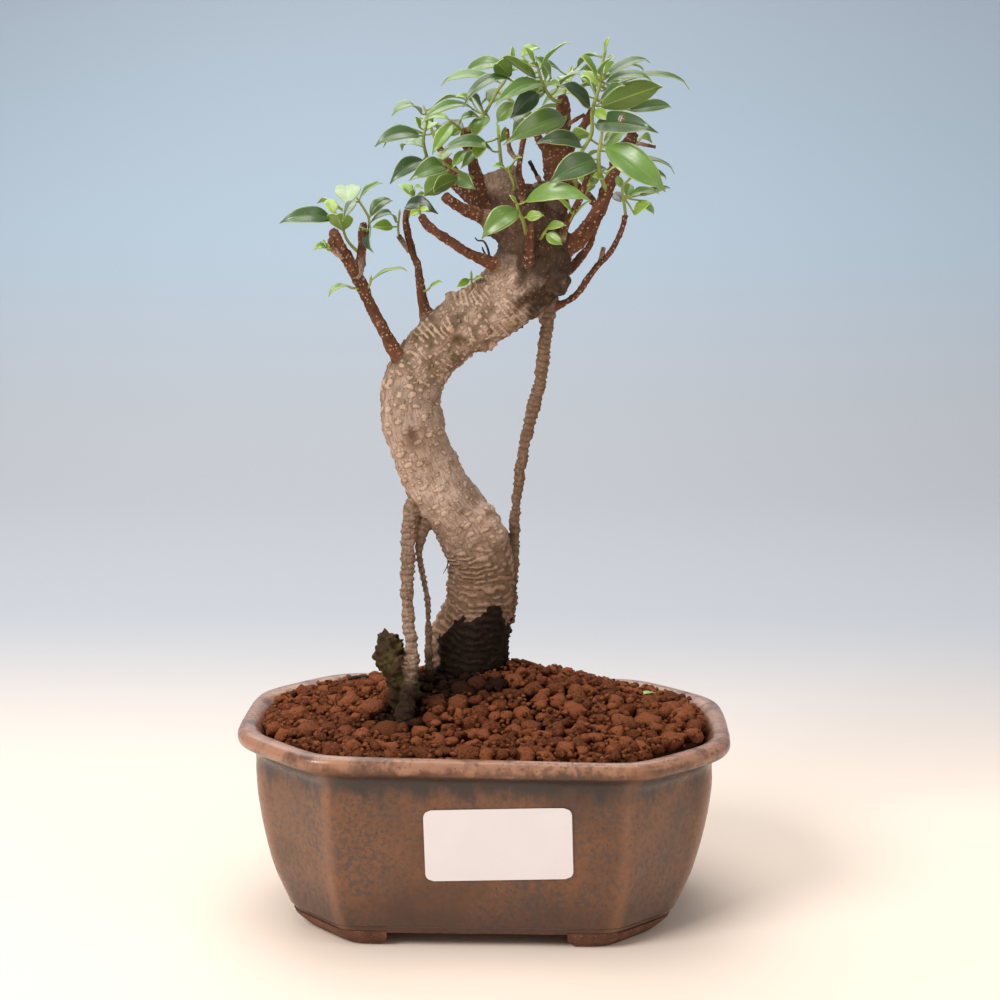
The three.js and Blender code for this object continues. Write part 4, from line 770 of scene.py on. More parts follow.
LIMBS = {
    "rightRoot": [
        (20.5, 195, 6, 3), (20.2, 187, 6, 2.4), (19.2, 177.7, 7, 2.1), (18.1, 169.2, 8, 2),
        (15.9, 160.5, 9, 2), (14, 152.4, 9, 1.9), (12.1, 142.2, 10, 1.8), (10.9, 131.2, 11, 1.7),
        (10.2, 123.2, 11, 1.8), (10, 112, 11, 1.7), (9.4, 98, 12, 1.5), (9.5, 91, 13, 1),
    ],
    "leftRoot": [
        (-20.5, 134, 4, 3), (-23.2, 124, 1, 2.4), (-23.7, 113.6, -3, 2.1), (-24.1, 98.7, -8, 2),
        (-23.8, 91.5, -10, 2), (-22.9, 85.6, -12, 2), (-22.9, 75.2, -15, 2.4), (-24.8, 64, -18, 3),
        (-26, 55, -20, 2.6),
    ],
    "thinRoot": [
        (-17, 127, 4, 2.4), (-19.4, 120.4, 2, 1.9), (-20, 112.6, 1, 1.1), (-18.8, 105.5, 0, 1.1),
        (-17.5, 97.4, 0, 1.1), (-17.4, 84, 1, 1.2), (-17, 73, 2, 1.4), (-16.5, 62, 2, 1.2),
    ],
    "mossyStub": [
        (-24, 66, -12, 4), (-27, 75, -11, 4.6), (-29.6, 81.5, -9, 4.4), (-31, 87, -7, 3),
    ],
    "leftArm": [
        (-22, 172, 7, 3.2), (-27.2, 177.8, 4, 2.4), (-31.1, 185.2, 2, 2), (-34.8, 192.4, 0, 1.9),
        (-38.1, 199.6, -3, 1.9), (-42.9, 208.8, -7, 1.9), (-46.1, 215.4, -11, 1.7),
    ],
    "leftArmStub": [
        (-43, 207.5, -7, 1.3), (-46.2, 209.6, -9.5, 1.2), (-47.2, 212.9, -11, 1.1),
    ],
    "leftArmFork": [
        (-38.9, 201.5, -4, 1.8), (-37.6, 206, -3, 1.5), (-37.3, 211, -1, 1.4), (-37, 218, 1, 1.3),
    ],
    "backArm": [
        (-16.5, 184, 10, 3.4), (-18, 191.5, 12, 1.9), (-19, 197, 14, 1.5), (-20, 204.2, 16, 1.4),
        (-21.9, 209.7, 18, 1.4), (-23.7, 218.5, 20, 1.2), (-22, 223.4, 21, 1.1),
    ],
    "backArmTwig": [
        (-22.4, 209, 18, 1), (-24.2, 211.4, 18, 0.9), (-25.9, 213.9, 18, 0.9),
    ],
    "frontArm": [
        (9, 203.5, 2, 3), (2.4, 205.8, -1, 2), (-3.1, 207.9, -4, 1.7), (-7.7, 210.6, -7, 1.6),
        (-12.6, 213.9, -10, 1.5), (-16.6, 216.7, -12, 1.4), (-18.8, 220.3, -13, 1.3),
    ],
    "leftFork": [
        (10, 215, 5, 6), (4, 219.5, 5, 4.8), (0.5, 223.5, 6, 3.4), (-1, 229, 7, 2.3),
        (-1.9, 233, 8, 1.9), (-4, 239.4, 9, 1.6), (-4.7, 243, 9, 2), (-5, 246.8, 9, 1.7),
    ],
    "leftForkLow": [
        (4, 218, 3, 3.6), (-0.7, 220, 0, 2.4), (-6.2, 222.4, -3, 2.1), (-12, 226, -6, 1.8),
    ],
    "leftForkHigh": [
        (2, 222, 6, 3.2), (-2.5, 225, 8, 2.3), (-6.2, 227.9, 10, 2), (-9.9, 231.3, 12, 1.9),
        (-13.9, 233.9, 13, 1.8),
    ],
    "frontTwig": [
        (12, 221, 0, 1.4), (12.4, 228, -3, 1), (11.4, 233, -5, 0.9), (12, 239.4, -7, 0.8),
        (13.2, 245.4, -8, 0.8),
    ],
    "frontTwigFork": [
        (11.8, 236.5, -6, 0.7), (8.7, 239.6, -7, 0.7), (7.7, 246.4, -8, 0.6),
    ],
    "deadStub": [
        (19, 226, 6, 0.7), (17.4, 231, 3, 0.6), (14.6, 236.6, 0, 0.6),
    ],
    "stump": [
        (19, 214, 7, 5), (20.4, 222, 5, 4.8), (20, 230, 4, 4.3),
    ],
    "middleArm": [
        (19.5, 216, 10, 6), (22.4, 223, 12, 4.6), (23.2, 230.6, 13, 4), (22.6, 236.7, 14, 3.9),
        (23, 243, 15, 3.6), (24.9, 250.3, 16, 2.6), (24.6, 256.6, 16, 1.7),
    ],
    "middleArmTwig": [
        (25, 246.8, 15, 0.8), (28, 248.8, 12, 0.6), (31.3, 250.6, 10, 0.6),
    ],
    "thinArm": [
        (23.5, 211, 0, 1.6), (26.4, 218, -5, 1.1), (30.4, 225.5, -9, 0.9), (31.6, 229.4, -10, 0.9),
        (33.2, 234.7, -12, 0.8),
    ],
    "rightArm": [
        (21, 206, 5, 5.4), (26, 210, 3, 3.4), (30.7, 213.8, 2, 2.6), (33.8, 218.2, 1, 2.4),
        (36.6, 222.7, 0, 2.2), (38.6, 228, 0, 2.1), (40.6, 233.5, 2, 2), (41.8, 239, 5, 1.9),
        (45.8, 243.4, 8, 1.8), (46.8, 245.6, 8, 1.6),
    ],
    "rightArmTwig": [
        (45.6, 242.5, 8, 0.8), (49, 241.8, 8.5, 0.6), (53.2, 240.9, 9, 0.5),
    ],
    "crossArm": [
        (21, 233.5, 13, 1.8), (25.5, 231.8, 10, 1.3), (29.6, 229, 7, 1.2), (33.4, 225.4, 4, 1.2),
        (36, 222, 2, 1),
    ],
    "rightBackArm": [
        (22, 201, 10, 2.6), (26.5, 203, 15, 1.6), (30.7, 207.5, 18, 1.4), (33.3, 211, 21, 1.3),
        (34.8, 216, 24, 1.2), (38, 224, 29, 1.1), (40.5, 231, 32, 1),
    ],
    "longArm": [
        (17, 190.5, 6, 3), (21.6, 191.6, 6, 1.5), (26.3, 193.6, 5, 1.2), (29.7, 196.2, 4, 1.1),
        (32.8, 200.8, 3, 1.1), (35.9, 204.8, 2, 1), (39, 207.9, 1, 1), (41.2, 211.5, 0, 1),
        (43.2, 216, -1, 1), (44.3, 220.4, -2, 1),
    ],
    "longArmStub": [
        (36.2, 205, 2, 0.8), (37, 207.6, 1.5, 0.7), (37.6, 210.2, 1, 0.7),
    ],
    "frontStub": [
        (14.1, 204, 0, 2.4), (14.3, 206.5, -6, 1.6), (14.6, 210, -8, 1.4), (14.8, 213.6, -9, 1.3),
        (15.3, 217.6, -10, 1.2),
    ],
    "backLimb": [
        (16, 212, 12, 5), (19, 220, 20, 3.2), (21.5, 229, 26, 2.3), (20, 238, 31, 1.7),
        (16.6, 245, 34, 1.3),
    ],
    "backRightLimb": [
        (21.5, 233, 16, 2.6), (26.5, 240, 23, 1.7), (31, 247, 30, 1.4), (34, 252.5, 34, 1.2),
    ],
    "backLeftLimb": [
        (1.5, 223, 8, 3), (-5, 228.5, 17, 1.8), (-10, 235.5, 25, 1.5), (-14, 242, 30, 1.2),
    ],
}
THIN = 1.15
WOOD_ROUTES = {"trunk": Route(TRUNK)}
WOOD_ROUTES.update({name: Route(points) for name, points in LIMBS.items()})
print("routes:", len(WOOD_ROUTES), "lumps:", len(LUMPS))

# %% [markdown]
# ## Soil
#
# The pot holds baked clay granules: porous, angular, red-brown, of several sizes, with dark gaps between
# them. A bumpy surface would look like mud, so each granule is its own small lump. They are dropped one
# by one, the large ones first, on a dark bed, and each comes to rest on those under it. The bed's
# near-black colour is painted shade for the deep gaps. A lump repeated this often has only a few dozen
# faces.


# %% Granule and bed materials
def make_granule_clay():
    clay, tree, shader = new_material("baked_clay_granules")
    place = add(tree, "TexCoord").outputs["Object"]
    tone = attribute(tree, "tone")
    grain = add(tree, "TexNoise", Vector=place, Scale=1500.0, Detail=4.0, Roughness=0.65).outputs[0]
    pores = use(tree, FLECKS, Vector=place, Spacing=0.9, Radius=0.22, Share=0.25)
    ochre = use(tree, PATCHES, Vector=place, Size=3.0, Amount=0.35, Softness=0.15)
    base = mix(tree, spread(tree, tone, 0.0, 1.0), colour(84, 41, 24), colour(148, 84, 52))
    base = cover(tree, ochre, 0.45, base, colour(160, 88, 50))
    base = mix(tree, spread(tree, grain, 0.35, 0.75, 0.0, 0.5), base, colour(168, 106, 72))
    base = cover(tree, pores, 0.5, base, colour(44, 16, 8))
    damp = attribute(tree, "damp")
    base = cover(tree, damp, 0.92, base, colour(32, 18, 12))
    feed(tree, shader.inputs["Base Color"], base)
    feed(tree, shader.inputs["Roughness"], spread(tree, grain, 0.0, 1.0, 0.85, 1.0))
    shader.inputs["Specular IOR Level"].default_value = 0.1
    relief = maths(tree, "SUBTRACT", grain, pores)
    bump(tree, shader, relief, 1.0, 0.0012)
    return clay


def make_bed_clay():
    clay, tree, shader = new_material("soil_bed_painted_shade")
    place = add(tree, "TexCoord").outputs["Object"]
    damp = use(tree, PATCHES, Vector=place, Size=5.0, Amount=0.5, Softness=0.2)
    grain = add(tree, "TexNoise", Vector=place, Scale=900.0, Detail=4.0).outputs[0]
    # The bed's near-black browns are painted shade for the gaps deep between the granules.
    feed(tree, shader.inputs["Base Color"], mix(tree, damp, colour(34, 14, 8), colour(52, 25, 15)))
    feed(tree, shader.inputs["Roughness"], spread(tree, damp, 0.0, 1.0, 0.95, 0.85))
    shader.inputs["Specular IOR Level"].default_value = 0.1
    bump(tree, shader, grain, 0.9, 0.001)
    return clay


GRANULE_CLAY = make_granule_clay()
BED_CLAY = make_bed_clay()

# %% The bed under the granules
BED_ROWS = [(17.1, 11.3), (14.1, 15.4), (10.6, 28.0), (10.2, 51.0), (8.8, 55.0)]
BED_SHARES = [0.985, 0.93, 0.86, 0.78, 0.7, 0.6, 0.5, 0.4, 0.3, 0.2, 0.1]
BED_DROP = 2.4
BED_MARK = 200
BED_STEPS = 120

bed = bmesh.new()
bed_edge = LATHE_RADIUS - SOIL_INSET
profile = [(0.0, 11.3)] + [(LATHE_RADIUS - inset, z) for inset, z in BED_ROWS]
profile += [(bed_edge * share, BED_MARK) for share in BED_SHARES] + [(0.0, BED_MARK)]
spin_profile(bed, profile, BED_STEPS)
for v in bed.verts:
    r = math.hypot(v.co.x, v.co.y)
    turn = math.atan2(v.co.y, v.co.x)
    if v.co.z < BED_MARK - 1:
        x, y = outline(turn, LATHE_RADIUS - r, v.co.z) if r > 1 else (0, 0)
        v.co = (x, y, v.co.z)
        continue
    x, y = outline(turn, SOIL_INSET, SOIL_EDGE)
    share = r / bed_edge
    x *= share
    y *= share
    v.co = (x, y, soil_height(x, y) - BED_DROP + 0.6 * ripple((x, y, 0), 4))
bmesh.ops.recalc_face_normals(bed, faces=bed.faces)
soil_bed = piece_from(bed, "soil_bed", [BED_CLAY], ["soil"])

# %% Where each granule comes to rest
GRANULE_SIZES = [(190, 3.3, 5.6, 80), (560, 1.8, 3.1, 80), (1300, 0.7, 1.7, 20)]
PACKING = 0.8
TRIES = 40

wood_balls = []
for name in ("trunk", "leftRoot", "thinRoot", "mossyStub", "rightRoot"):
    for centre, _, _, _, radius in WOOD_ROUTES[name].frames(60):
        if centre.z < 92:
            centre = Matrix.Rotation(VIEW_TURN, 3, "Z") @ centre
            wood_balls.append((*centre, radius))
wood_balls = np.array(wood_balls)
rested = np.zeros((0, 4))
granules = []
for group_number, (count, smallest, largest, faces) in enumerate(GRANULE_SIZES):
    made = 0
    for i in range(count * TRIES):
        if made == count:
            break
        k = 10 * group_number
        size = smallest + (largest - smallest) * draw(i, k + 1) ** 1.4
        share = math.sqrt(draw(i, k + 2))
        edge_x, edge_y = outline(draw(i, k + 3) * math.tau, SOIL_INSET + 0.75 * size, SOIL_EDGE)
        x = edge_x * share
        y = edge_y * share
        top = soil_height(x, y)
        z = top - BED_DROP + 0.35 * size
        if len(rested):
            flat = np.hypot(rested[:, 0] - x, rested[:, 1] - y)
            touch = (PACKING * (rested[:, 3] + size)) ** 2 - flat**2
            near = touch > 0
            if near.any():
                z = max(z, float((rested[near, 2] + np.sqrt(touch[near])).max()))
        if z + 0.7 * size > top + 1.2 + 1.5 * draw(i, k + 4):
            continue
        gap = np.sqrt(((wood_balls[:, :3] - (x, y, z)) ** 2).sum(1)) - wood_balls[:, 3] - 0.75 * size
        if gap.min() < 0:
            continue
        rested = np.vstack([rested, (x, y, z, size)])
        granules.append((x, y, z, size, faces, i + 7 * group_number))
        made += 1
    print("granules of", smallest, "to", largest, "mm:", made)


# %% The granules
BROKEN_FACES = 8
DAMP_SPOTS = [(-25, -17, 12), (-18, 0, 14), (-9, -4, 12), (4, -5, 8)]


def add_granule(bm, tone_layer, damp_layer, x, y, z, size, faces, seed):
    made = bmesh.ops.create_icosphere(bm, subdivisions=2 if faces > 20 else 1, radius=1)["verts"]
    squash = Matrix.Diagonal((1.0, 0.75 + 0.3 * draw(seed, 31), 0.62 + 0.25 * draw(seed, 32)))
    lean = Matrix.Rotation(1.2 * draw(seed, 34) - 0.6, 3, "X")
    turn = Matrix.Rotation(6.3 * draw(seed, 33), 3, "Z") @ lean
    tone = draw(seed, 35)
    damp = max(1 - smoothstep(math.hypot(x - sx, y - sy), 0.5 * r, r) for sx, sy, r in DAMP_SPOTS)
    broken = []
    for k in range(BROKEN_FACES):
        up = 2 * draw(seed, 50 + k) - 1
        turned = math.tau * draw(seed, 70 + k)
        flat = math.sqrt(1 - up * up)
        outward = Vector((flat * math.cos(turned), flat * math.sin(turned), up))
        broken.append((outward, 0.58 + 0.36 * draw(seed, 90 + k)))
    for v in made:
        reach = min([1.12] + [depth / v.co.dot(n) for n, depth in broken if v.co.dot(n) > 0.05])
        rough = reach * (1.08 + 0.3 * ripple(v.co, 0.5, seed % 97) + 0.2 * ripple(v.co, 0.25, seed % 53))
        v.co = Vector((x, y, z)) + turn @ squash @ (v.co * rough * size)
        v[tone_layer] = tone
        v[damp_layer] = damp


soil_mesh = bmesh.new()
soil_mesh.verts.layers.float.new("tone")
soil_mesh.verts.layers.float.new("damp")
tone_layer = soil_mesh.verts.layers.float["tone"]
damp_layer = soil_mesh.verts.layers.float["damp"]
for x, y, z, size, faces, seed in granules:
    add_granule(soil_mesh, tone_layer, damp_layer, x, y, z, size, faces, seed)
soil = piece_from(soil_mesh, "soil_granules", [GRANULE_CLAY], ["soil"])

# %% [markdown]
# ## The tree's wood
#
# Trunk, branches and roots have grown as one, so where a limb leaves the trunk the bark runs on over the
# fork. Tubes alone would cross with a sharp line. The thick tubes are therefore melted into one skin with
# a voxel remesh, which rounds every fork, and are smoothed a little. The thinnest twigs are only a voxel
# or two across, so they stay tubes.


# %% Thick limbs melted into one skin
VOXEL = 0.6
SMOOTHING = 3


def limb_shape(seed):
    def shape(t, angle):
        return 1 + 0.05 * math.sin(2 * angle + 9 * t + seed) + 0.03 * math.sin(3 * angle - 14 * t + 2 * seed)

    return shape


thick = bmesh.new()
thin_names = []
for number, (name, route) in enumerate(WOOD_ROUTES.items()):
    spans = len(route.points) - 1
    if max(route.radii[1:]) < THIN:
        thin_names.append(name)
        continue
    sides = 48 if name == "trunk" else 20
    add_tube(thick, route, sides, spans * 8, shape=limb_shape(number))
for x, z, depth, radius in LUMPS:
    ball = bmesh.ops.create_icosphere(thick, subdivisions=3, radius=radius)["verts"]
    bmesh.ops.translate(thick, verts=ball, vec=seen(x, z, depth))
thick.transform(Matrix.Scale(MM, 4))
melted = object_from(thick, "melted")
apply_modifier(melted, "REMESH", mode="VOXEL", voxel_size=VOXEL * MM)
wood = bmesh.new()
wood.from_mesh(melted.data)
bpy.data.objects.remove(melted)
wood.transform(Matrix.Scale(1 / MM, 4))
for _ in range(SMOOTHING):
    bmesh.ops.smooth_vert(
        wood, verts=wood.verts, factor=0.5, use_axis_x=True, use_axis_y=True, use_axis_z=True
    )
for name in thin_names:
    route = WOOD_ROUTES[name]
    add_tube(wood, route, 12, (len(route.points) - 1) * 10, shape=limb_shape(len(name)))
print("skin faces:", len(wood.faces), "thin twigs:", len(thin_names))

# %% [markdown]
# ## Which limb a point of the bark belongs to
#
# Bark has a direction: its wrinkles and rows of pale pores run round each limb, whichever way the limb
# turns. So for every point of the skin the nearest place on a route is looked up, and gives how far along
# the limb it is, how far round it, and how old the wood is there. Numpy does this for all points at once.

# %% Along and round each limb
GROWN_OUT = 10
YOUNG_FROM = 203
ROOT_BROWN = {"rightRoot": 0.8, "leftRoot": 0.5, "thinRoot": 0.7, "mossyStub": 0.8}
stations = []
arc_start = 0.0
for name, route in WOOD_ROUTES.items():
    steps = (len(route.points) - 1) * 6
    previous = None
    arc = arc_start
    root = ROOT_BROWN.get(name, 0.0)
    for i, (centre, along, side, other, radius) in enumerate(route.frames(steps)):
        arc += (centre - previous).length if previous else 0.0
        previous = centre
        if name == "trunk":
            youth = 0.3 * smoothstep(centre.z, YOUNG_FROM - 6, 214)
        elif root:
            youth = 0.12
        elif name == "stump":
            youth = 0.16
        else:
            youth = 0.25 + 0.75 * smoothstep(arc - arc_start, 2, GROWN_OUT)
        tip = smoothstep(i / steps, 0.97, 1.0) if not root and name != "trunk" else 0.0
        stations.append((*centre, *along, *side, *other, radius, arc, youth, tip, root, name == "deadStub"))
    arc_start = arc + 50
stations = np.array(stations)
skin = np.array([v.co[:] for v in wood.verts])
nearest = np.empty(len(skin), int)
for start in range(0, len(skin), 4000):
    block = skin[start : start + 4000, None, :] - stations[None, :, :3]
    nearest[start : start + 4000] = (np.sqrt((block**2).sum(2)) - stations[None, :, 12]).argmin(1)
home = stations[nearest]
offset = skin - home[:, :3]
forward = (offset * home[:, 3:6]).sum(1)
round_angle = np.arctan2((offset * home[:, 9:12]).sum(1), (offset * home[:, 6:9]).sum(1))
limb_radius = home[:, 12]
limb_arc = home[:, 13] + forward
youth = home[:, 14].copy()
root_brown = home[:, 16]
is_root = root_brown > 0
dead = home[:, 17]
past_end = np.clip((np.abs(forward) - 0.35) / 0.3, 0, 1) * home[:, 15]
print("points of bark:", len(skin), "stations:", len(stations))

# %% [markdown]
# ## The bark's relief
#
# The relief is a sum of waves and rows, and each has its own share of the tree: wrinkles round the low
# trunk, torn ridges round the arch, rings round the roots, and rows of pale pores elsewhere. Noise bends
# them all, so that no two lines run alike. Their sum moves the skin in or out, and the same numbers are
# stored on it for the bark's colours to read.


# %% Wrinkles, ridges, rings and rows of pores
def hashed(a, b):
    s = np.sin(a * 12.9898 + b * 78.233) * 43758.5453
    return s - np.floor(s)


def pore_rows(row_height, width, share, long, high, bend=0.0):
    arc = limb_arc + bend
    row = np.floor(arc / row_height)
    around = np.maximum(np.round(math.tau * limb_radius / width), 3)
    turn = (round_angle / math.tau + 0.5 + 0.37 * hashed(row, 5.0)) % 1.0 * around
    cell = np.floor(turn)
    middle_u = 0.5 + 0.24 * (hashed(row + 31, cell) - 0.5)
    middle_v = 0.5 + 0.5 * (hashed(row, cell + 17) - 0.5)
    du = (turn - cell - middle_u) * width / long
    dv = (arc / row_height - row - middle_v) * row_height / high
    kept = hashed(row + 7, cell + 3) < share
    size = 0.65 + 0.5 * hashed(row + 3, cell + 11)
    return np.exp(-(((du / size) ** 2 + (dv / (0.5 + 0.5 * size)) ** 2) ** 1.5)) * kept


rough = np.array([ripple(p, 9.0) for p in skin])
knobbly = np.array([ripple(p, 3.6, 5) for p in skin])
fine = np.array([ripple(p, 1.3, 9) for p in skin])
level = skin[:, 2]
low_share = np.clip((124 - level) / 14, 0, 1)
arch_share = np.clip((level - 168) / 8, 0, 1) * np.clip((206 - level) / 8, 0, 1)
crown_share = np.clip((level - 200) / 10, 0, 1)
thick_share = np.clip((limb_radius - 2.5) / 3, 0, 1)
lumpy = np.array([ripple(p, 2.1, 13) for p in skin])
wrinkle = 0.5 + 0.5 * np.sin(math.tau * (limb_arc + 1.3 * knobbly + 1.5 * rough) / 2.4)
cobbles = np.clip(1.3 * wrinkle, 0, 1) * np.clip(0.8 + 1.5 * lumpy, 0, 1)
wide_pores = pore_rows(3.4, 4.4, 0.5, 1.4, 0.7)
stripe = 0.5 + 0.5 * np.sin(math.tau * (limb_arc + 0.9 * rough) / 1.75)
torn = np.array([ripple(p, 5.5, 31) for p in skin])
ridges = np.clip(2.2 * stripe - 1.1, 0, 1) * np.clip(0.3 + 2.4 * torn, 0, 1)
beads = pore_rows(2.5, 3.4, 0.75, 1.2, 0.75)
small_pores = pore_rows(1.9, 2.3, 0.5, 0.75, 0.45)
middle_share = (1 - low_share) * (1 - arch_share)
upper_beads = np.clip(1 - np.abs(level - 168) / 10, 0, 1)
raised = 0.9 * cobbles * low_share + wide_pores * middle_share + np.maximum(ridges, 0.7 * beads) * arch_share
raised = np.maximum(raised, beads * upper_beads) * (1 - crown_share)
pores = np.maximum(raised * thick_share, 0.85 * small_pores * (1 - 0.7 * low_share * thick_share))
green_share = np.clip(1.2 - np.abs(level - 180) / 24, 0, 1) + 0.75 * low_share
# Creases get an olive tint and painted shade where the skin is sunk; the grooves between root rings get the
# same.
crease = np.clip(0.65 + 1.6 * knobbly, 0, 1) * np.clip(green_share, 0, 1) * np.clip(1 - 1.8 * pores, 0, 1)
crease *= thick_share
thickness = np.clip(limb_radius / 6, 0.12, 1)
mossy = np.zeros(len(skin))
for centre in WOOD_ROUTES["mossyStub"].points:
    mossy = np.maximum(mossy, np.clip(1.5 - np.linalg.norm(skin - np.array(centre), axis=1) / 5.5, 0, 1))
height = thickness * (0.7 * rough + 0.5 * knobbly) + 0.26 * fine * np.clip(limb_radius / 2, 0.5, 1)
height += 0.34 * knobbly * (1 - thickness) * (limb_radius > 1.1) * (1 + is_root)
rings = np.sin(math.tau * limb_arc / 1.9 + 4 * knobbly) * is_root
height += 0.13 * rings * np.clip(0.3 + 2.5 * lumpy, 0, 1)
crease = np.maximum(crease, 0.9 * np.clip(-rings, 0, 1))
pores = np.maximum(pores, 0.8 * np.clip(2 * rings - 1, 0, 1) * np.clip(2.5 * lumpy, 0, 1))
height += (0.16 + (0.34 + 0.45 * low_share) * thickness) * pores * (1 - 0.8 * past_end) - 0.22 * crease
dark_side = np.clip((skin[:, 0] - 8) / 7, 0, 1) * np.clip((level - 184) / 8, 0, 1)
# The stump's top is kept out of the painted shade, so the top that faces the light stays pale.
unshaded_top = np.clip((level - 225) / 4, 0, 1) * np.clip((14 - skin[:, 0]) / 4, 0, 1)
shaded = np.clip(dark_side + crown_share + 0.8 * knobbly * (dark_side > 0), 0, 1)
shaded *= thick_share * (1 - 0.75 * unshaded_top)
height += shaded * (0.5 * knobbly + 0.5 * lumpy + 0.3 * fine)
height += mossy * (2.4 * knobbly + 1.8 * fine)

# %% Knots, where old twigs have healed over
KNOTS = [
    (-21.7, 151.5, -5.0, 3.6), (-7.4, 181.7, -0.5, 2.3), (-10.1, 190.0, 0.0, 2.6), (23.8, 199.6, -6.5, 2.2),
    (-1.2, 197.2, 1.0, 2.4), (-6.1, 127.0, -2.5, 1.8), (2.2, 126.6, -1.0, 1.8),
]
knot = np.zeros(len(skin))
for x, z, depth, radius in KNOTS:
    away = np.linalg.norm(skin - np.array(seen(x, z, depth)), axis=1) / radius + 0.25 * knobbly
    height += radius * (0.2 * np.exp(-(((away - 0.85) / 0.3) ** 2)) - 0.14 * np.exp(-((away / 0.35) ** 2)))
    knot = np.maximum(knot, np.exp(-((away / 0.75) ** 2)))
normals = np.array([v.normal[:] for v in wood.verts])
moved = skin + normals * height[:, None]
print("bark relief from", round(height.min(), 2), "to", round(height.max(), 2), "mm, knots:", len(KNOTS))

# %% The wet stain at the foot, and the moss
STAIN_EDGE = [
    (-17.0, 80.0), (-13.6, 85.6), (-8.5, 92.0), (-2.4, 93.9), (1.7, 96.1), (3.7, 97.6), (5.4, 97.0),
    (6.1, 93.8), (7.3, 89.2), (9.3, 91.8), (11.0, 92.8),
]
edge_z = np.interp(skin[:, 0], [x for x, _ in STAIN_EDGE], [z for _, z in STAIN_EDGE])
facing = np.clip(-normals[:, 1] * 1.6 + 0.5, 0, 1)
stain = np.clip((edge_z + 2.0 * knobbly + 1.8 * fine - level) / 1.4, 0, 1) * facing
stain *= np.clip((skin[:, 0] + 15.6 + knobbly) / 2.5, 0, 1) * (limb_radius > 8)
foot_damp = np.clip((79 + 7 * is_root + 4 * knobbly + 3 * fine - level) / (7 + 7 * is_root), 0, 1)
# Roots and the low trunk are painted browner: browner bark, and on the low trunk also painted shade under
# the bend.
brown = np.clip(0.75 * np.clip((122 - level) / 16, 0, 1) * thick_share + root_brown, 0, 1)
straight = np.stack([limb_radius * np.cos(round_angle), limb_radius * np.sin(round_angle), limb_arc], 1)
LAYERS = {
    "youth": np.clip(youth, 0, 1),
    "pores": pores,
    "crease": crease,
    "knot": knot,
    "brown": brown,
    "shaded": shaded,
    "dead": dead,
    "stain": stain,
    "damp": foot_damp,
    "moss": np.clip(mossy, 0, 1),
    "cut_end": past_end,
}
layers = {name: wood.verts.layers.float.new(name) for name in LAYERS}
place_layer = wood.verts.layers.float_vector.new("bark_place")
wood.verts.ensure_lookup_table()
for i, v in enumerate(wood.verts):
    v.co = moved[i]
    v[place_layer] = straight[i] * MM
    for name, layer in layers.items():
        v[layer] = LAYERS[name][i]
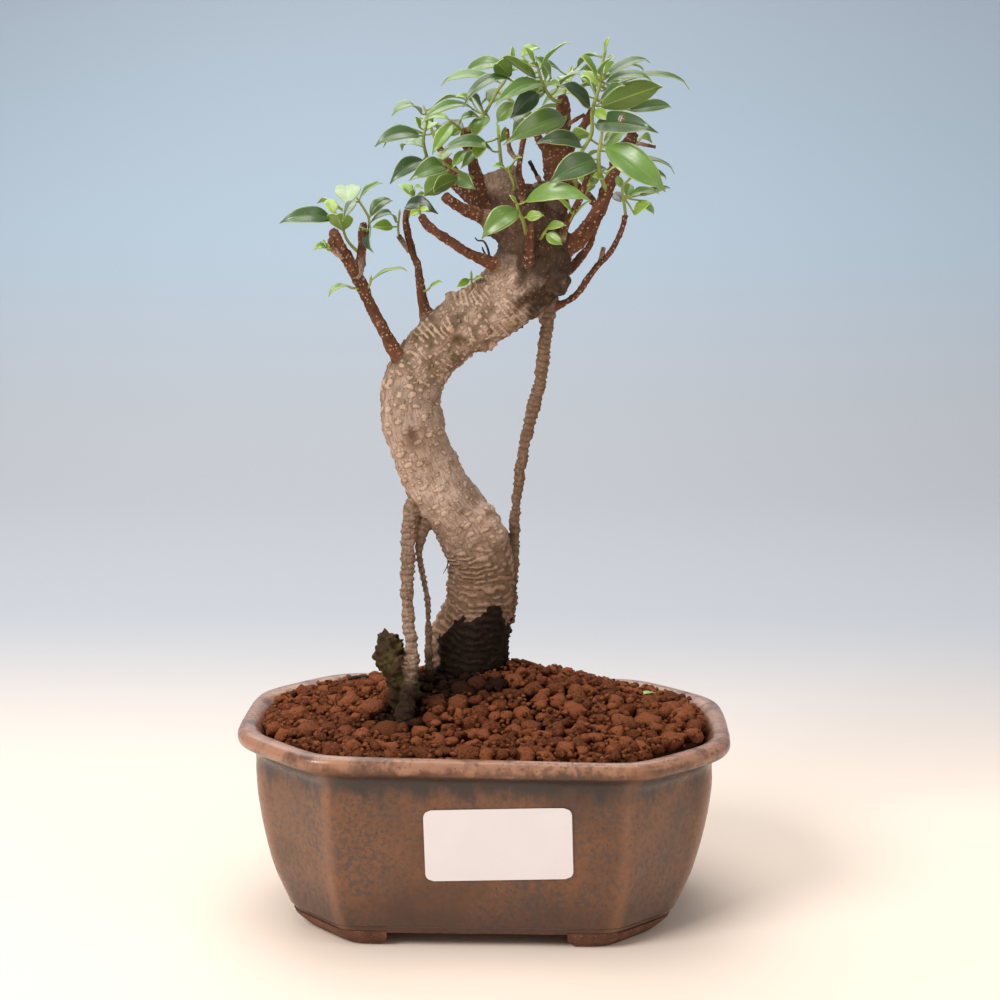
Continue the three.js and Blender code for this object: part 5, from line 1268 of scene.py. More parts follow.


# %% [markdown]
# ## Bark
#
# Old bark is grey-tan with a pink cast, with rows of paler raised pores. Its creases are greenish and
# darker: an olive tint with painted shade. A dark ring of painted shade lies round each raised pore. The
# low trunk and the roots are painted browner, and the low trunk also darker, as painted shade under the
# bend. Young wood is dark red-brown with small whitish dots. One material goes from one to the other by
# the age stored on the skin, so there is no seam at a fork. Dots on the young wood use the shared flecks,
# laid along each limb by its own coordinates.

# %% Bark material
def make_bark():
    bark, tree, shader = new_material("fig_bark")
    place = add(tree, "TexCoord").outputs["Object"]
    along = add(tree, "Attribute", {"attribute_name": "bark_place"}).outputs["Vector"]
    read = {name: attribute(tree, name) for name in LAYERS}
    broad = use(tree, PATCHES, Vector=place, Size=22.0, Amount=0.5, Softness=0.2)
    blotch = use(tree, PATCHES, Vector=place, Size=6.0, Amount=0.45, Softness=0.12)
    grain = add(tree, "TexNoise", Vector=along, Scale=900.0, Detail=5.0, Roughness=0.6).outputs[0]
    streak_place = add(tree, "Mapping", Vector=along, Scale=(1.0, 1.0, 0.22)).outputs[0]
    streaks = add(tree, "TexNoise", Vector=streak_place, Scale=1500.0, Detail=4.0, Roughness=0.6).outputs[0]
    old = mix(tree, broad, colour(168, 142, 124), colour(206, 180, 164))
    old = cover(tree, blotch, 0.4, old, colour(136, 112, 84))
    old = mix(tree, spread(tree, streaks, 0.3, 0.62, 0.5, 0.0), old, colour(110, 82, 62))
    # Browner and darker low trunk and roots: bark colour, and on the low trunk painted shade.
    old = cover(tree, read["brown"], 0.7, old, colour(96, 64, 42))
    # Sunk creases: an olive tint, and painted shade.
    old = cover(tree, read["crease"], 0.8, old, colour(82, 68, 40))
    # A dark ring round each raised pore: painted shade at its foot.
    edge_up = spread(tree, read["pores"], 0.05, 0.25)
    edge_down = spread(tree, read["pores"], 0.3, 0.5, 1.0, 0.0)
    pore_edge_shade = maths(tree, "MULTIPLY", edge_up, edge_down)
    old = cover(tree, pore_edge_shade, 0.45, old, colour(104, 74, 50))
    pale = mix(tree, read["brown"], colour(206, 178, 152), colour(146, 108, 80))
    old = mix(tree, spread(tree, read["pores"], 0.4, 0.7, 0.0, 0.62), old, pale)
    old = cover(tree, read["knot"], 0.55, old, colour(104, 68, 48))
    old = cover(tree, read["shaded"], 0.88, old, colour(46, 32, 21))
    young = mix(tree, blotch, colour(112, 71, 52), colour(80, 50, 37))
    young = mix(tree, spread(tree, streaks, 0.35, 0.7, 0.0, 0.4), young, colour(134, 96, 74))
    young = mix(tree, spread(tree, read["pores"], 0.35, 0.65, 0.0, 0.6), young, colour(186, 150, 124))
    dots = use(tree, FLECKS, Vector=along, Spacing=1.25, Radius=0.19, Share=0.65)
    young = cover(tree, dots, 0.75, young, colour(214, 184, 160))
    base = mix(tree, spread(tree, read["youth"], 0.15, 0.7), old, young)
    faint_dots = maths(tree, "MULTIPLY", maths(tree, "MULTIPLY", dots, read["shaded"]), 0.5)
    base = mix(tree, faint_dots, base, colour(156, 112, 80))
    base = mix(tree, spread(tree, read["dead"], 0.3, 0.7, 0.0, 0.9), base, colour(44, 38, 33))
    base = mix(tree, spread(tree, read["damp"], 0.0, 1.0, 0.0, 0.93), base, colour(40, 26, 17))
    moss_share = maths(tree, "MULTIPLY", maths(tree, "MULTIPLY", read["moss"], blotch), 0.6)
    base = mix(tree, spread(tree, read["moss"], 0.1, 0.7, 0.0, 0.85), base, colour(50, 38, 20))
    base = mix(tree, moss_share, base, colour(98, 96, 44))
    cut_wood = mix(tree, grain, colour(186, 150, 120), colour(138, 100, 74))
    base = mix(tree, spread(tree, read["cut_end"], 0.4, 0.9), base, cut_wood)
    soot = mix(tree, spread(tree, grain, 0.45, 0.75), colour(18, 11, 8), colour(44, 28, 20))
    base = mix(tree, spread(tree, read["stain"], 0.25, 0.6, 0.0, 0.95), base, soot)
    feed(tree, shader.inputs["Base Color"], base)
    feed(tree, shader.inputs["Roughness"], spread(tree, grain, 0.2, 0.8, 0.78, 0.95))
    shader.inputs["Specular IOR Level"].default_value = 0.12
    relief = maths(tree, "ADD", maths(tree, "ADD", grain, streaks), dots)
    bump(tree, shader, relief, 0.8, 0.0006)
    return bark


BARK = make_bark()
tree_wood = piece_from(wood, "tree_wood", [BARK], ["trunk"], turn=VIEW_TURN)

# %% [markdown]
# ## The leafy shoots
#
# The leaves are small, pointed and glossy, each folded a little along its midrib, on a short stalk. They
# could be copies of one leaf, but every leaf in the photograph has its own length, width and turn, so
# each is typed: the base and the tip of its blade, its width, how far its face leans to the viewer, and
# how high its middle arches. Leaves at the back of the crown, which the photograph hides, follow a rule.

# %% Shoots and leaves
SHOOTS = {
    "tuftLeft": {
        "stem": [
            (-38.2, 208.6, -1.5, 0.7), (-41.3, 211.8, -4, 0.6), (-42.8, 215.2, -5, 0.55),
            (-42.5, 218.8, -4.5, 0.5), (-41.5, 222.6, -3.5, 0.5),
        ],
        "leaves": [
            (-46.5, 218.8, -6, -62.5, 218.2, -13, 6.5, 60, 4),
            (-41.3, 224, -3, -42, 229.6, 8, 9, 5, 0.8),
            (-45.9, 221, -5, -47.4, 225.3, -1, 4.6, 10, 0.4),
            (-43.2, 215.6, -7, -45, 221, -15, 9, 0, 0.8),
            (-42.2, 220.9, -2, -50.5, 224.8, 6, 6, -30, 0.8),
        ],
    },
    "tuftInner": {
        "stem": [
            (-37, 210.8, -0.5, 0.7), (-35.2, 213, 2, 0.6), (-35, 218.8, 1.5, 0.55),
            (-36, 221.2, 0, 0.5), (-38, 224.4, -2, 0.5),
        ],
        "leaves": [
            (-38.1, 224.9, -2, -31.1, 230.4, -6, 5, 35, 1),
            (-39.6, 224.6, -4.6, -42.8, 219.4, -11, 3.6, 20, 1),
            (-34.6, 219.8, 2, -27.7, 225, 6, 5, 35, 2.4), (-34.5, 216, 1, -34.6, 209.1, -3, 4, 55, 1.4),
            (-35.5, 214.9, 0, -38, 216.8, -5, 3.2, 30, 0.4),
        ],
    },
    "stubBud": {
        "stem": [
            (-46.8, 210.2, -10, 0.5), (-47.4, 209.4, -12, 0.45), (-48, 209.8, -13, 0.45),
        ],
        "leaves": [
            (-48.2, 209.9, -13, -52.4, 209.6, -16, 3, 45, 1.6),
            (-48, 210.4, -13, -49.4, 212.2, -17, 2.6, 40, 0.6),
        ],
    },
    "lowLeft": {
        "stem": [
            (-37.3, 197.4, -2, 0.5), (-39.2, 197.6, -4.4, 0.45), (-40, 197.7, -5, 0.45),
        ],
        "leaves": [
            (-40, 197.7, -5, -48, 195.7, -11, 4, 12, 1.8),
        ],
    },
    "lowRight": {
        "stem": [
            (-36.6, 196.4, -1.4, 0.5), (-35, 198.6, -3.4, 0.45), (-34.7, 199.9, -4, 0.45),
        ],
        "leaves": [
            (-34.7, 200, -4, -23.5, 203.9, -8, 4.4, 15, 1.4),
        ],
    },
    "sideSprig": {
        "stem": [
            (-25.7, 213.4, 18, 0.5), (-26, 216.2, 17, 0.5), (-25.6, 220.3, 16, 0.45),
        ],
        "leaves": [
            (-27.6, 216.6, 16, -33.9, 216.7, 11, 4.5, 60, 0.8),
            (-26.6, 218, 16, -34.6, 218.2, 7, 4, 30, 3.6),
        ],
    },
    "backArmTip": {
        "stem": [
            (-22.2, 222.8, 20.8, 0.5), (-21.6, 225, 20.5, 0.5), (-21.2, 226.2, 20, 0.45),
        ],
        "leaves": [
            (-23.6, 223, 15, -13.9, 221, 6, 6.5, 55, 3),
            (-21.4, 226, 19.5, -18.6, 228.8, 13, 3.4, 40, 1.6),
            (-20.6, 225.4, 20, -17.6, 226.6, 16, 3, 50, 0.5),
            (-22.2, 226.4, 21, -25.4, 229.6, 25, 5, 10, 1),
        ],
    },
    "backArmLeaf": {
        "stem": [
            (-19, 196.6, 13.8, 0.5), (-17.4, 197, 11.8, 0.45), (-16.8, 197.4, 11, 0.45),
        ],
        "leaves": [
            (-16.8, 197.4, 11, -12.6, 200, 7, 2.8, 40, 0.5),
        ],
    },
    "frontArmTip": {
        "stem": [
            (-18.9, 219.6, -13, 0.5), (-19.2, 221.2, -13.4, 0.45), (-19.4, 222.2, -13.8, 0.4),
        ],
        "leaves": [
            (-19.6, 221.6, -14, -22.4, 220, -16, 2.4, 50, 0.3),
            (-19.2, 222.2, -14, -16.4, 221.8, -16, 2, 50, 0.3),
        ],
    },
    "archSprout": {
        "stem": [
            (-3.2, 196.4, 7, 0.5), (-3.3, 199, 5.6, 0.45), (-3.4, 201.4, 5, 0.4),
        ],
        "leaves": [
            (-4, 200.4, 4.6, -7.8, 198.2, 1, 2.6, 60, 0.4),
            (-2.8, 200.4, 5, -0.2, 201.2, 3, 2, 50, 0.3),
        ],
    },
    "leftLow": {
        "stem": [
            (-1.8, 231.2, 7.2, 0.8), (-6.2, 233, 3, 0.7), (-9.9, 234.9, 1, 0.6),
            (-12.4, 236.6, -1, 0.55),
        ],
        "leaves": [
            (-11.4, 234.8, -2, -22.2, 231.2, -12, 7, 55, 3.2),
            (-12.6, 237, 0, -10.6, 239.2, 8, 5, 5, 0.8),
            (-10.4, 233.6, 0, -17.9, 226.1, 1, 8, -72, 0.8),
            (-7.6, 231.4, 2, -15.6, 227.4, -3, 6.5, -72, 0.6),
            (-7, 232.2, 2, -2.5, 228.3, -6, 5.2, 60, 1.2),
        ],
    },
    "leftHigh": {
        "stem": [
            (-13.4, 233.4, 12.8, 0.8), (-16.2, 236.2, 11, 0.7), (-17.8, 240.9, 8.5, 0.65),
            (-17.9, 244, 7.5, 0.55), (-17.2, 247.2, 7, 0.5),
        ],
        "leaves": [
            (-19.1, 244.3, 6.5, -32.9, 241.6, -1, 6.5, 50, 3.6),
            (-19, 246.7, 7, -20.6, 250.2, 6, 2.8, 60, 0.3), (-17, 248, 7, -10, 249.4, -1, 4.6, 40, 2.4),
            (-18, 236.8, 9.5, -28.3, 230.3, 0, 6.5, 45, 3), (-18, 241, 10, -25, 240.5, 17, 6.5, 20, 2),
            (-17, 246.2, 8.6, -14.4, 247.6, 17, 6, 10, 1.6),
        ],
    },
    "leftKnob": {
        "stem": [
            (-5.4, 244.8, 8.5, 0.6), (-7.4, 247, 5.4, 0.55), (-9.4, 248.6, 4, 0.5),
        ],
        "leaves": [
            (-9.2, 248, 3.6, -15.3, 239.1, -5, 5, 35, 1.6), (-7, 248, 5, -0.8, 250, 0, 4.5, 40, 2),
            (-7, 246, 4.6, -10.2, 244.3, 0.4, 2.8, 50, 0.6),
        ],
    },
    "leftSide": {
        "stem": [
            (-3.8, 238.6, 8.6, 0.55), (-3.6, 239.8, 6, 0.5), (-3.8, 240.2, 4.6, 0.45),
        ],
        "leaves": [
            (-5, 239.8, 4, -9.1, 234.8, 0, 3.6, 30, 0.8),
            (-2.6, 239.6, 4, -6.2, 234.9, -2, 3.4, 40, 0.6),
        ],
    },
    "upright": {
        "stem": [
            (6.4, 232.6, 6.4, 0.8), (5.8, 236.6, 1, 0.7), (5.3, 241.8, -2, 0.65), (4.9, 245.6, -3, 0.5),
        ],
        "leaves": [
            (3.6, 239.4, -2.6, -12.8, 239.6, -10, 6.4, 40, 4),
            (0.6, 242.4, -6, -2.2, 237.4, -11, 5, 40, 0.6), 
            (5, 244.6, -3, 4.4, 248.6, -5, 3, 60, 0.3), (6, 242.6, -1.6, 7.4, 247.2, 1, 3, 60, 0.3),
        ],
    },
    "stumpShoot": {
        "stem": [
            (9.8, 226, 3, 0.7), (9.8, 229.6, -2, 0.65), (8.4, 233.4, -4, 0.6),
        ],
        "leaves": [
            (8.8, 234, -4.6, 11.4, 238.4, -9.5, 4, 55, 0.5),
            (7.4, 234, -4.4, 3.6, 235.4, -9, 3, 40, 0.8),
        ],
    },
    "front": {
        "stem": [
            (14, 212.6, -2.5, 0.9), (12.8, 218, -8.4, 0.75), (11.4, 220.9, -9.6, 0.7),
            (10.7, 223.4, -10.4, 0.55),
        ],
        "leaves": [
            (11, 221.8, -10.6, -0.1, 213.3, -17, 8, 55, 3.6),
            (13.4, 224.4, -11, 33.3, 225.3, -20, 7.6, 55, 4),
            (13.6, 219.6, -10, 18.9, 220.3, -13, 3.8, 70, 0.4),
            (10.5, 223.9, -10.6, 8.6, 226.4, -11.6, 1.8, 60, 0.2),
        ],
    },
    "frontLow": {
        "stem": [
            (16.4, 210.6, -2.5, 0.7), (18.6, 213.8, -7.6, 0.6), (19.8, 215.6, -9, 0.5),
        ],
        "leaves": [
            (20, 216.4, -9.6, 25.8, 217.3, -14, 3.4, 60, 0.6),
            (19.8, 214.4, -9.2, 24.8, 211.3, -12, 4.2, 60, 0.5),
        ],
    },
    "centre": {
        "stem": [
            (24.8, 248, 15, 0.8), (25.6, 249.6, 9, 0.6), (25.4, 249.9, 6, 0.5),
        ],
        "leaves": [
            (25, 249.8, 5, 7.4, 242.4, -15, 8.8, 60, 4.8),
        ],
    },
    "rightMain": {
        "stem": [
            (29, 228.6, 6.6, 0.9), (28.8, 233, 1.6, 0.85), (30.4, 239, -2, 0.8), (33.6, 245, -3, 0.75),
            (33.8, 252, -4, 0.7), (35.8, 259, -4, 0.6), (37, 267.6, -5, 0.5),
        ],
        "leaves": [
            (30.6, 241, -3, 17.1, 242.6, -14, 7.2, 55, 3),
            (32.4, 245.4, -2, 27.4, 243.4, 5, 5.5, -40, 0.6),
            (33.2, 252.7, -5, 24.6, 260, -12, 8.6, 60, 1),
            (35, 256, -3.6, 31.2, 262.4, 2, 6.5, -40, 0.6), (36, 254, -6, 43, 260, -16, 5.5, 55, 1),
            (36.4, 253, -3, 55.3, 259.7, -6, 9.6, -62, 1.4),
            (34.8, 247.8, -5, 52.9, 246.2, -17, 8.6, 60, 2.8),
            (34.8, 252, -6, 39.2, 249, -12, 3.8, 60, 0.8),
            (37.2, 261.2, -3, 51.3, 267.4, 2, 5, 30, 2.2),
            (37.4, 259.8, -3, 51.6, 261.8, -9, 5.5, 38, 2.4), (41, 260, 2, 63.8, 259.8, 5, 6, 22, 3.2),
            (45, 252, 1, 58.3, 253.4, 6, 5.5, 50, 1), (35, 262, -6, 30.4, 268.5, -10, 6, 55, 0.6),
            (36, 263, -7, 40.2, 268.4, -15, 6, 40, 0.8), (37.6, 268.4, -5, 38.8, 274.2, -7, 4, 70, 0.4),
            (37.6, 262.6, -3.6, 40.6, 266.8, 3, 4, 40, 0.4),
        ],
    },
    "rightFront": {
        "stem": [
            (38.2, 227.6, -1, 0.9), (36.6, 232, -6, 0.85), (35.8, 236.7, -8, 0.8), (36.2, 241, -9, 0.7),
            (37, 246.2, -10, 0.5),
        ],
        "leaves": [
            (38, 241, -10, 56.5, 227.9, -19, 10.6, 60, 4),
            (34.4, 237.2, -9, 20.9, 230.3, -18, 9.2, 60, 3.2),
            (37.6, 231.6, -7, 34, 232, -8, 3.4, 45, 0.5),
            (38.2, 232.6, -7.6, 41.2, 235.2, -11, 2.8, 30, 0.4),
            (37.4, 241, -8, 43.6, 246, -1, 7, -30, 0.8),
        ],
    },
    "longTip": {
        "stem": [
            (44.3, 220.2, -2, 0.6), (43.9, 223.2, -2.6, 0.6), (43.3, 226.4, -3, 0.55),
            (43.4, 229, -3.4, 0.5), (45.6, 231.4, -4, 0.45), (47.4, 233.4, -5, 0.4),
        ],
        "leaves": [
            (42.8, 224.4, -2, 40.6, 227.2, 3.4, 3.6, 30, 0.4),
            (44.6, 226.2, -2, 45.5, 230, 3.6, 3.8, 30, 0.4),
            (45, 225.6, -4, 54.4, 227.3, -9, 3.6, 40, 1.8),
            (46.6, 220.6, -3.4, 51.9, 224.2, -8, 5.2, 60, 0.5),
            (48.6, 224.8, -3.8, 53.2, 220.6, -6, 3.2, 50, 0.6),
            (48.4, 226.2, -4.4, 58, 228.9, -5, 3, 50, 0.6),
            (42.6, 228.8, -3.4, 41.6, 232.3, -1, 2.8, 50, 0.3),
            (49, 233.6, -5, 57.1, 231.5, -2, 3, 45, 1.2),
        ],
    },
    "thinArmSide": {
        "stem": [
            (26.6, 218, -5, 0.5), (27.6, 219.4, -8, 0.45), (28, 220.4, -9, 0.4),
        ],
        "leaves": [
            (27.6, 221, -9.4, 23.4, 225.4, -11, 2.8, 45, 0.6),
            (28.8, 220.4, -9.6, 33, 224.6, -12.5, 2.4, 40, 0.4),
        ],
    },
    "thinArmTop": {
        "stem": [
            (31.2, 228, -9.6, 0.5), (32.6, 228.6, -7.4, 0.45), (33, 229.2, -6.6, 0.4),
        ],
        "leaves": [
            (32.4, 229.6, -6.4, 30, 233.4, -3.6, 4, 40, 0.4),
            (33.6, 229.4, -6.4, 35.2, 233.4, -3, 3.8, 40, 0.4),
        ],
    },
    "topLeft": {
        "stem": [
            (-4.7, 245, 8.8, 0.8), (-3, 248, 6, 0.75), (0.3, 250.3, 4, 0.7), (2.4, 253.6, 3, 0.65),
            (4.6, 257.6, 3, 0.6), (7, 261, 3, 0.6), (9, 266.2, 3, 0.5),
        ],
        "leaves": [
            (0.6, 251, 2.6, -3.9, 257, -4, 7, 55, 0.6), (2.4, 249.8, 1, -2.8, 243.6, -8.6, 6, 50, 1.6),
            (2.6, 254, 4.4, 5.4, 259, 11, 6, 10, 0.6), (-2.6, 252.4, 5, -18.4, 249, -2, 5, 32, 3.6),
            (9.6, 260.8, 1.4, -5.8, 254, -9, 5.2, 30, 4.6),
            (5.2, 260.6, 4, -12.6, 260.5, 0, 5.6, 32, 2.6), (7, 265.4, 4, -5.4, 262.4, 4, 6.6, 50, 3),
            (8.8, 262.4, 1.4, 4.2, 266.6, -7, 6.6, -40, 0.6),
            (9.4, 264, 4.6, 16, 266, 12, 5, 20, 1.4), (9.1, 266.8, 3, 9.3, 271.4, 3.4, 1.8, 60, 0.2),
        ],
    },
    "topMiddle": {
        "stem": [
            (24.4, 254.4, 15.4, 0.8), (21.8, 255.2, 10, 0.75), (19.6, 257.8, 6, 0.7),
            (18.1, 261.2, 3, 0.6), (17, 265, 2, 0.5),
        ],
        "leaves": [
            (18.6, 260, 0.6, 4, 254, -13, 6, 42, 3),
            (16.2, 266, 1.6, 12.9, 270.8, -1.6, 4, 60, 0.3),
            (18, 264.6, 1, 26.6, 272.8, -5, 5, 20, 1.2), (16.4, 261.6, 1, 5.5, 268.8, -6, 5.2, -8, 0.8),
            (19.8, 259.8, 2, 23.8, 259.8, -6, 3.4, 40, 0.4),
            (19.4, 261, 8, 16.9, 268.4, 13, 7, 40, 0.6), (12, 268, 5, 17.6, 270.8, 9, 4.4, 30, 1.6),
            (15.4, 263, 1, 10.6, 266.8, -9, 5, 50, 0.6), (17, 257.4, 3, 9, 250, -6, 7, 55, 1),
            (23, 258.6, 8, 30, 263.3, 1, 5.6, 22, 1.2),
        ],
    },
}
BACK_SHOOTS = {
    "backTop": {"from": (24.8, 255.6, 16.4), "to": (27, 264, 24), "first": 0, "count": 6},
    "backMiddle": {"from": (16.8, 244.4, 33.6), "to": (11, 257, 37), "first": 2, "count": 6},
    "backRight": {"from": (33.8, 252, 33.6), "to": (37, 262, 35), "first": 1, "count": 6},
    "backLeft": {"from": (-13.8, 241.4, 29.6), "to": (-17.5, 252, 33), "first": 3, "count": 5},
    "backOuter": {"from": (40.4, 230.4, 31.8), "to": (46, 240, 34), "first": 4, "count": 5},
}
GOLDEN_TURN = math.radians(137.5)
BACK_RISE = 4


def ruled_shoot(start, end, first, count):
    middle = [(a + b) / 2 for a, b in zip(start, end)]
    stem = [(*start, 0.7), (middle[0], middle[1], middle[2] + 0.6, 0.6), (*end, 0.5)]
    leaves = []
    for i in range(count):
        up = (i + 1) / count
        angle = first + i * GOLDEN_TURN
        length = 18 - 5 * up + 3 * (draw(i, first) - 0.5)
        out_x = math.cos(angle)
        out_y = math.sin(angle)
        x, z, depth = (a + (b - a) * up for a, b in zip(start, end))
        rise = (BACK_RISE * up - 2) * (1 + 0.5 * draw(i, first + 3))
        lean = 40 * (draw(i, first + 7) - 0.3) * (-1 if out_y > 0 else 1)
        tip = (x + out_x * length, z + rise, depth + out_y * length)
        width = 6 + 1.4 * draw(i, first + 5)
        base = (x + out_x * 2.4, z + 1, depth + out_y * 2.4)
        leaves.append((*base, *tip, width, lean, 2.2 + draw(i, first + 9)))
    return {"stem": stem, "leaves": leaves}


for name, rule in BACK_SHOOTS.items():
    SHOOTS[name] = ruled_shoot(rule["from"], rule["to"], rule["first"], rule["count"])
print("shoots:", len(SHOOTS), "leaves:", sum(len(s["leaves"]) for s in SHOOTS.values()))

# %% [markdown]
# ## Keeping leaves clear of each other
#
# Leaves typed from one photograph know little about depth, so some would cut through a twig or a
# neighbour. The part's source bends such a leaf towards or away from the viewer until it is clear, and
# the same rule is followed here, step for step, so that each leaf stands where its solid does.

# %% The frame of a blade, and its clearance
PETIOLE = 0.45
CLEAR_OF_OTHERS = 1.5
CLEAR_OF_OWN = 0.9
NEAR_BASE = 0.35
BENDS = (0, -2, 2, -4, 4, -6, 6, -8, 8, -10, 10)


def blade_share(t):
    return (4 * t * (1 - t)) ** 0.65 * (1.06 - 0.18 * t) if 0 < t < 1 else 0.0


def nearest_on_stem(route, p):
    return min((route.at(i / 24) for i in range(9, 25)), key=lambda q: (q - p).length)


def blade_frame(leaf, bend):
    x0, z0, d0, x1, z1, d1, width, lean, arch = leaf
    base = seen(x0, z0, d0)
    along = seen(x1, z1, d1 + bend) - base
    length = along.length
    along.normalize()
    skyward = (Vector((0, 0, 1)) - along * along.z).normalized()
    viewward = along.cross(skyward)
    if viewward.y > 0:
        viewward.negate()
    angle = math.radians(lean)
    normal = skyward * math.cos(angle) + viewward * math.sin(angle)
    return {
        "base": base,
        "along": along,
        "length": length,
        "normal": normal,
        "across": normal.cross(along),
        "width": width,
        "arch": arch,
    }


def blade_point(f, t, u, lift=0.0):
    half = f["width"] / 2 * blade_share(t)
    stand = f["arch"] * 4 * t * (1 - t) + 0.22 * half * abs(u) + lift
    return f["base"] + f["along"] * (f["length"] * t) + f["normal"] * stand + f["across"] * (half * u)


standing = []
for name, route in WOOD_ROUTES.items():
    count = (len(route.points) - 1) * 5
    for i in range(count + 1):
        standing.append((*route.at(i / count), route.radius(i / count), 1.0, name, True))
STEMS = {name: Route(shoot["stem"]) for name, shoot in SHOOTS.items()}
for name, shoot in SHOOTS.items():
    stem = STEMS[name]
    standing += [(*stem.at(i / 12), 0.5, 0.0, name, False) for i in range(4, 13)]
    for leaf in shoot["leaves"]:
        base = seen(*leaf[:3])
        root = nearest_on_stem(stem, base)
        standing += [(*root.lerp(base, share), PETIOLE, 0.0, name, False) for share in (0.33, 0.67, 1)]
balls = np.array([s[:5] for s in standing])
owners = [s[5] for s in standing]
limb_flags = np.array([s[6] for s in standing])


def clear_frame(leaf, owner):
    global balls, limb_flags
    own = np.array([o == owner for o in owners])
    need = np.where(own, CLEAR_OF_OWN, CLEAR_OF_OTHERS)
    best = None
    for bend in BENDS:
        f = blade_frame(leaf, bend)
        samples = []
        for i in range(1, 10):
            samples += [(*blade_point(f, i / 9, j / 2), i / 9) for j in range(-2, 3)]
        samples = np.array(samples)
        gaps = np.sqrt(((samples[:, None, :3] - balls[None, :, :3]) ** 2).sum(2)) - balls[:, 3] - need
        near_base = samples[:, 3] < NEAR_BASE
        gaps[:, own & (balls[:, 4] < NEAR_BASE)] = np.inf
        gaps[np.ix_(near_base, own | limb_flags)] = np.inf
        room = gaps.min()
        if best is None or room > best[2] + 1e-6:
            best = (f, samples, room)
        if room >= 0:
            break
    f, samples, _ = best
    radii = np.full((len(samples), 1), 0.3)
    balls = np.vstack([balls, np.hstack([samples[:, :3], radii, samples[:, 3:4]])])
    limb_flags = np.concatenate([limb_flags, np.zeros(len(samples), bool)])
    owners.extend([owner] * len(samples))
    return f


CLEAR_FRAMES = {}
for name, shoot in SHOOTS.items():
    CLEAR_FRAMES[name] = [clear_frame(leaf, name) for leaf in shoot["leaves"]]
EXTRA_LEAVES = {
    "topLeft": [(10.5, 254, 0, 4.5, 248.5, -6, 6.5, 55, 1), (-2.6, 254, 8, -8, 256.4, 6, 4, 35, 1.2)],
    "topMiddle": [(19.3, 257.9, 6, 12.7, 254, 2, 5, 40, 1), (21.2, 261.5, 7, 16.4, 268, 3, 6.2, 60, 1)],
    "rightMain": [(37.4, 240.8, 7, 43.8, 245.4, 4, 6.4, 60, 1), (35.8, 259.5, 7, 29.8, 263, 10, 5.5, 45, 1)],
    "rightFront": [(33.6, 231.9, 6, 31.1, 226.8, 4, 4.4, 60, 1)],
}
for name, leaves in EXTRA_LEAVES.items():
    CLEAR_FRAMES[name] += [clear_frame(leaf, name) for leaf in leaves]
print("leaves placed:", sum(len(frames) for frames in CLEAR_FRAMES.values()))

# %% [markdown]
# ## Leaf finishes
#
# The upper face of a grown leaf is a glossy deep green with a thin cream margin and a lighter midrib.
# Young leaves are bright yellow-green, and undersides are paler and matt. Light passes through a leaf,
# which a little subsurface scattering gives. Each blade carries its own place across and along and its
# age, so the veins follow it.


# %% Leaf and stalk materials
def blade_veins(tree):
    across = attribute(tree, "across")
    along = attribute(tree, "along")
    off_middle = maths(tree, "ABSOLUTE", across)
    midrib = spread(tree, off_middle, 0.01, 0.075, 1.0, 0.0)
    slanted = maths(tree, "SUBTRACT", along, maths(tree, "MULTIPLY", off_middle, 0.16))
    wave = maths(tree, "SINE", maths(tree, "MULTIPLY", slanted, 88.0))
    side_veins = maths(tree, "MULTIPLY", spread(tree, wave, 0.6, 1.0), spread(tree, off_middle, 0.9, 0.7))
    margin = spread(tree, off_middle, 0.93, 0.98)
    return midrib, side_veins, margin


def let_light_through(shader):
    shader.inputs["Subsurface Weight"].default_value = 0.18
    shader.inputs["Subsurface Radius"].default_value = (0.35, 0.9, 0.12)
    shader.inputs["Subsurface Scale"].default_value = 0.0012


def make_leaf_top():
    leaf, tree, shader = new_material("fig_leaf_upper_face")
    place = add(tree, "TexCoord").outputs["Object"]
    youth = attribute(tree, "youth")
    tone = attribute(tree, "tone")
    midrib, side_veins, margin = blade_veins(tree)
    cloud = use(tree, PATCHES, Vector=place, Size=5.0, Amount=0.5, Softness=0.25)
    # A leaf's tone is partly its own green and partly painted sheen: leaves that catch the light are painted
    # lighter.
    grown = mix(tree, spread(tree, tone, 0.0, 0.5), colour(28, 52, 22), colour(68, 98, 44))
    grown = mix(tree, spread(tree, tone, 0.5, 1.0), grown, colour(112, 150, 58))
    grown = cover(tree, cloud, 0.25, grown, colour(40, 66, 30))
    fresh = mix(tree, tone, colour(112, 148, 36), colour(150, 180, 58))
    base = mix(tree, youth, grown, fresh)
    base = cover(tree, side_veins, 0.06, base, colour(112, 146, 78))
    base = cover(tree, midrib, 0.4, base, colour(140, 168, 92))
    base = cover(tree, margin, 0.65, base, colour(192, 206, 136))
    lime = use(tree, FLECKS, Vector=place, Spacing=1.9, Radius=0.08, Share=0.2)
    base = cover(tree, lime, 0.4, base, colour(196, 204, 180))
    scar = attribute(tree, "scar")
    base = mix(tree, spread(tree, scar, 0.1, 0.6), base, colour(112, 80, 44))
    feed(tree, shader.inputs["Base Color"], base)
    feed(tree, shader.inputs["Roughness"], spread(tree, cloud, 0.0, 1.0, 0.34, 0.44))
    shader.inputs["Specular IOR Level"].default_value = 0.85
    cells = add(tree, "TexNoise", Vector=place, Scale=2400.0, Detail=2.0).outputs[0]
    sunk = maths(tree, "MULTIPLY", side_veins, 0.15)
    relief = maths(tree, "SUBTRACT", maths(tree, "MULTIPLY", cells, 0.25), sunk)
    bump(tree, shader, relief, 0.3, 0.00015)
    let_light_through(shader)
    shader.inputs["Coat Weight"].default_value = 0.3
    shader.inputs["Coat Roughness"].default_value = 0.3
    return leaf


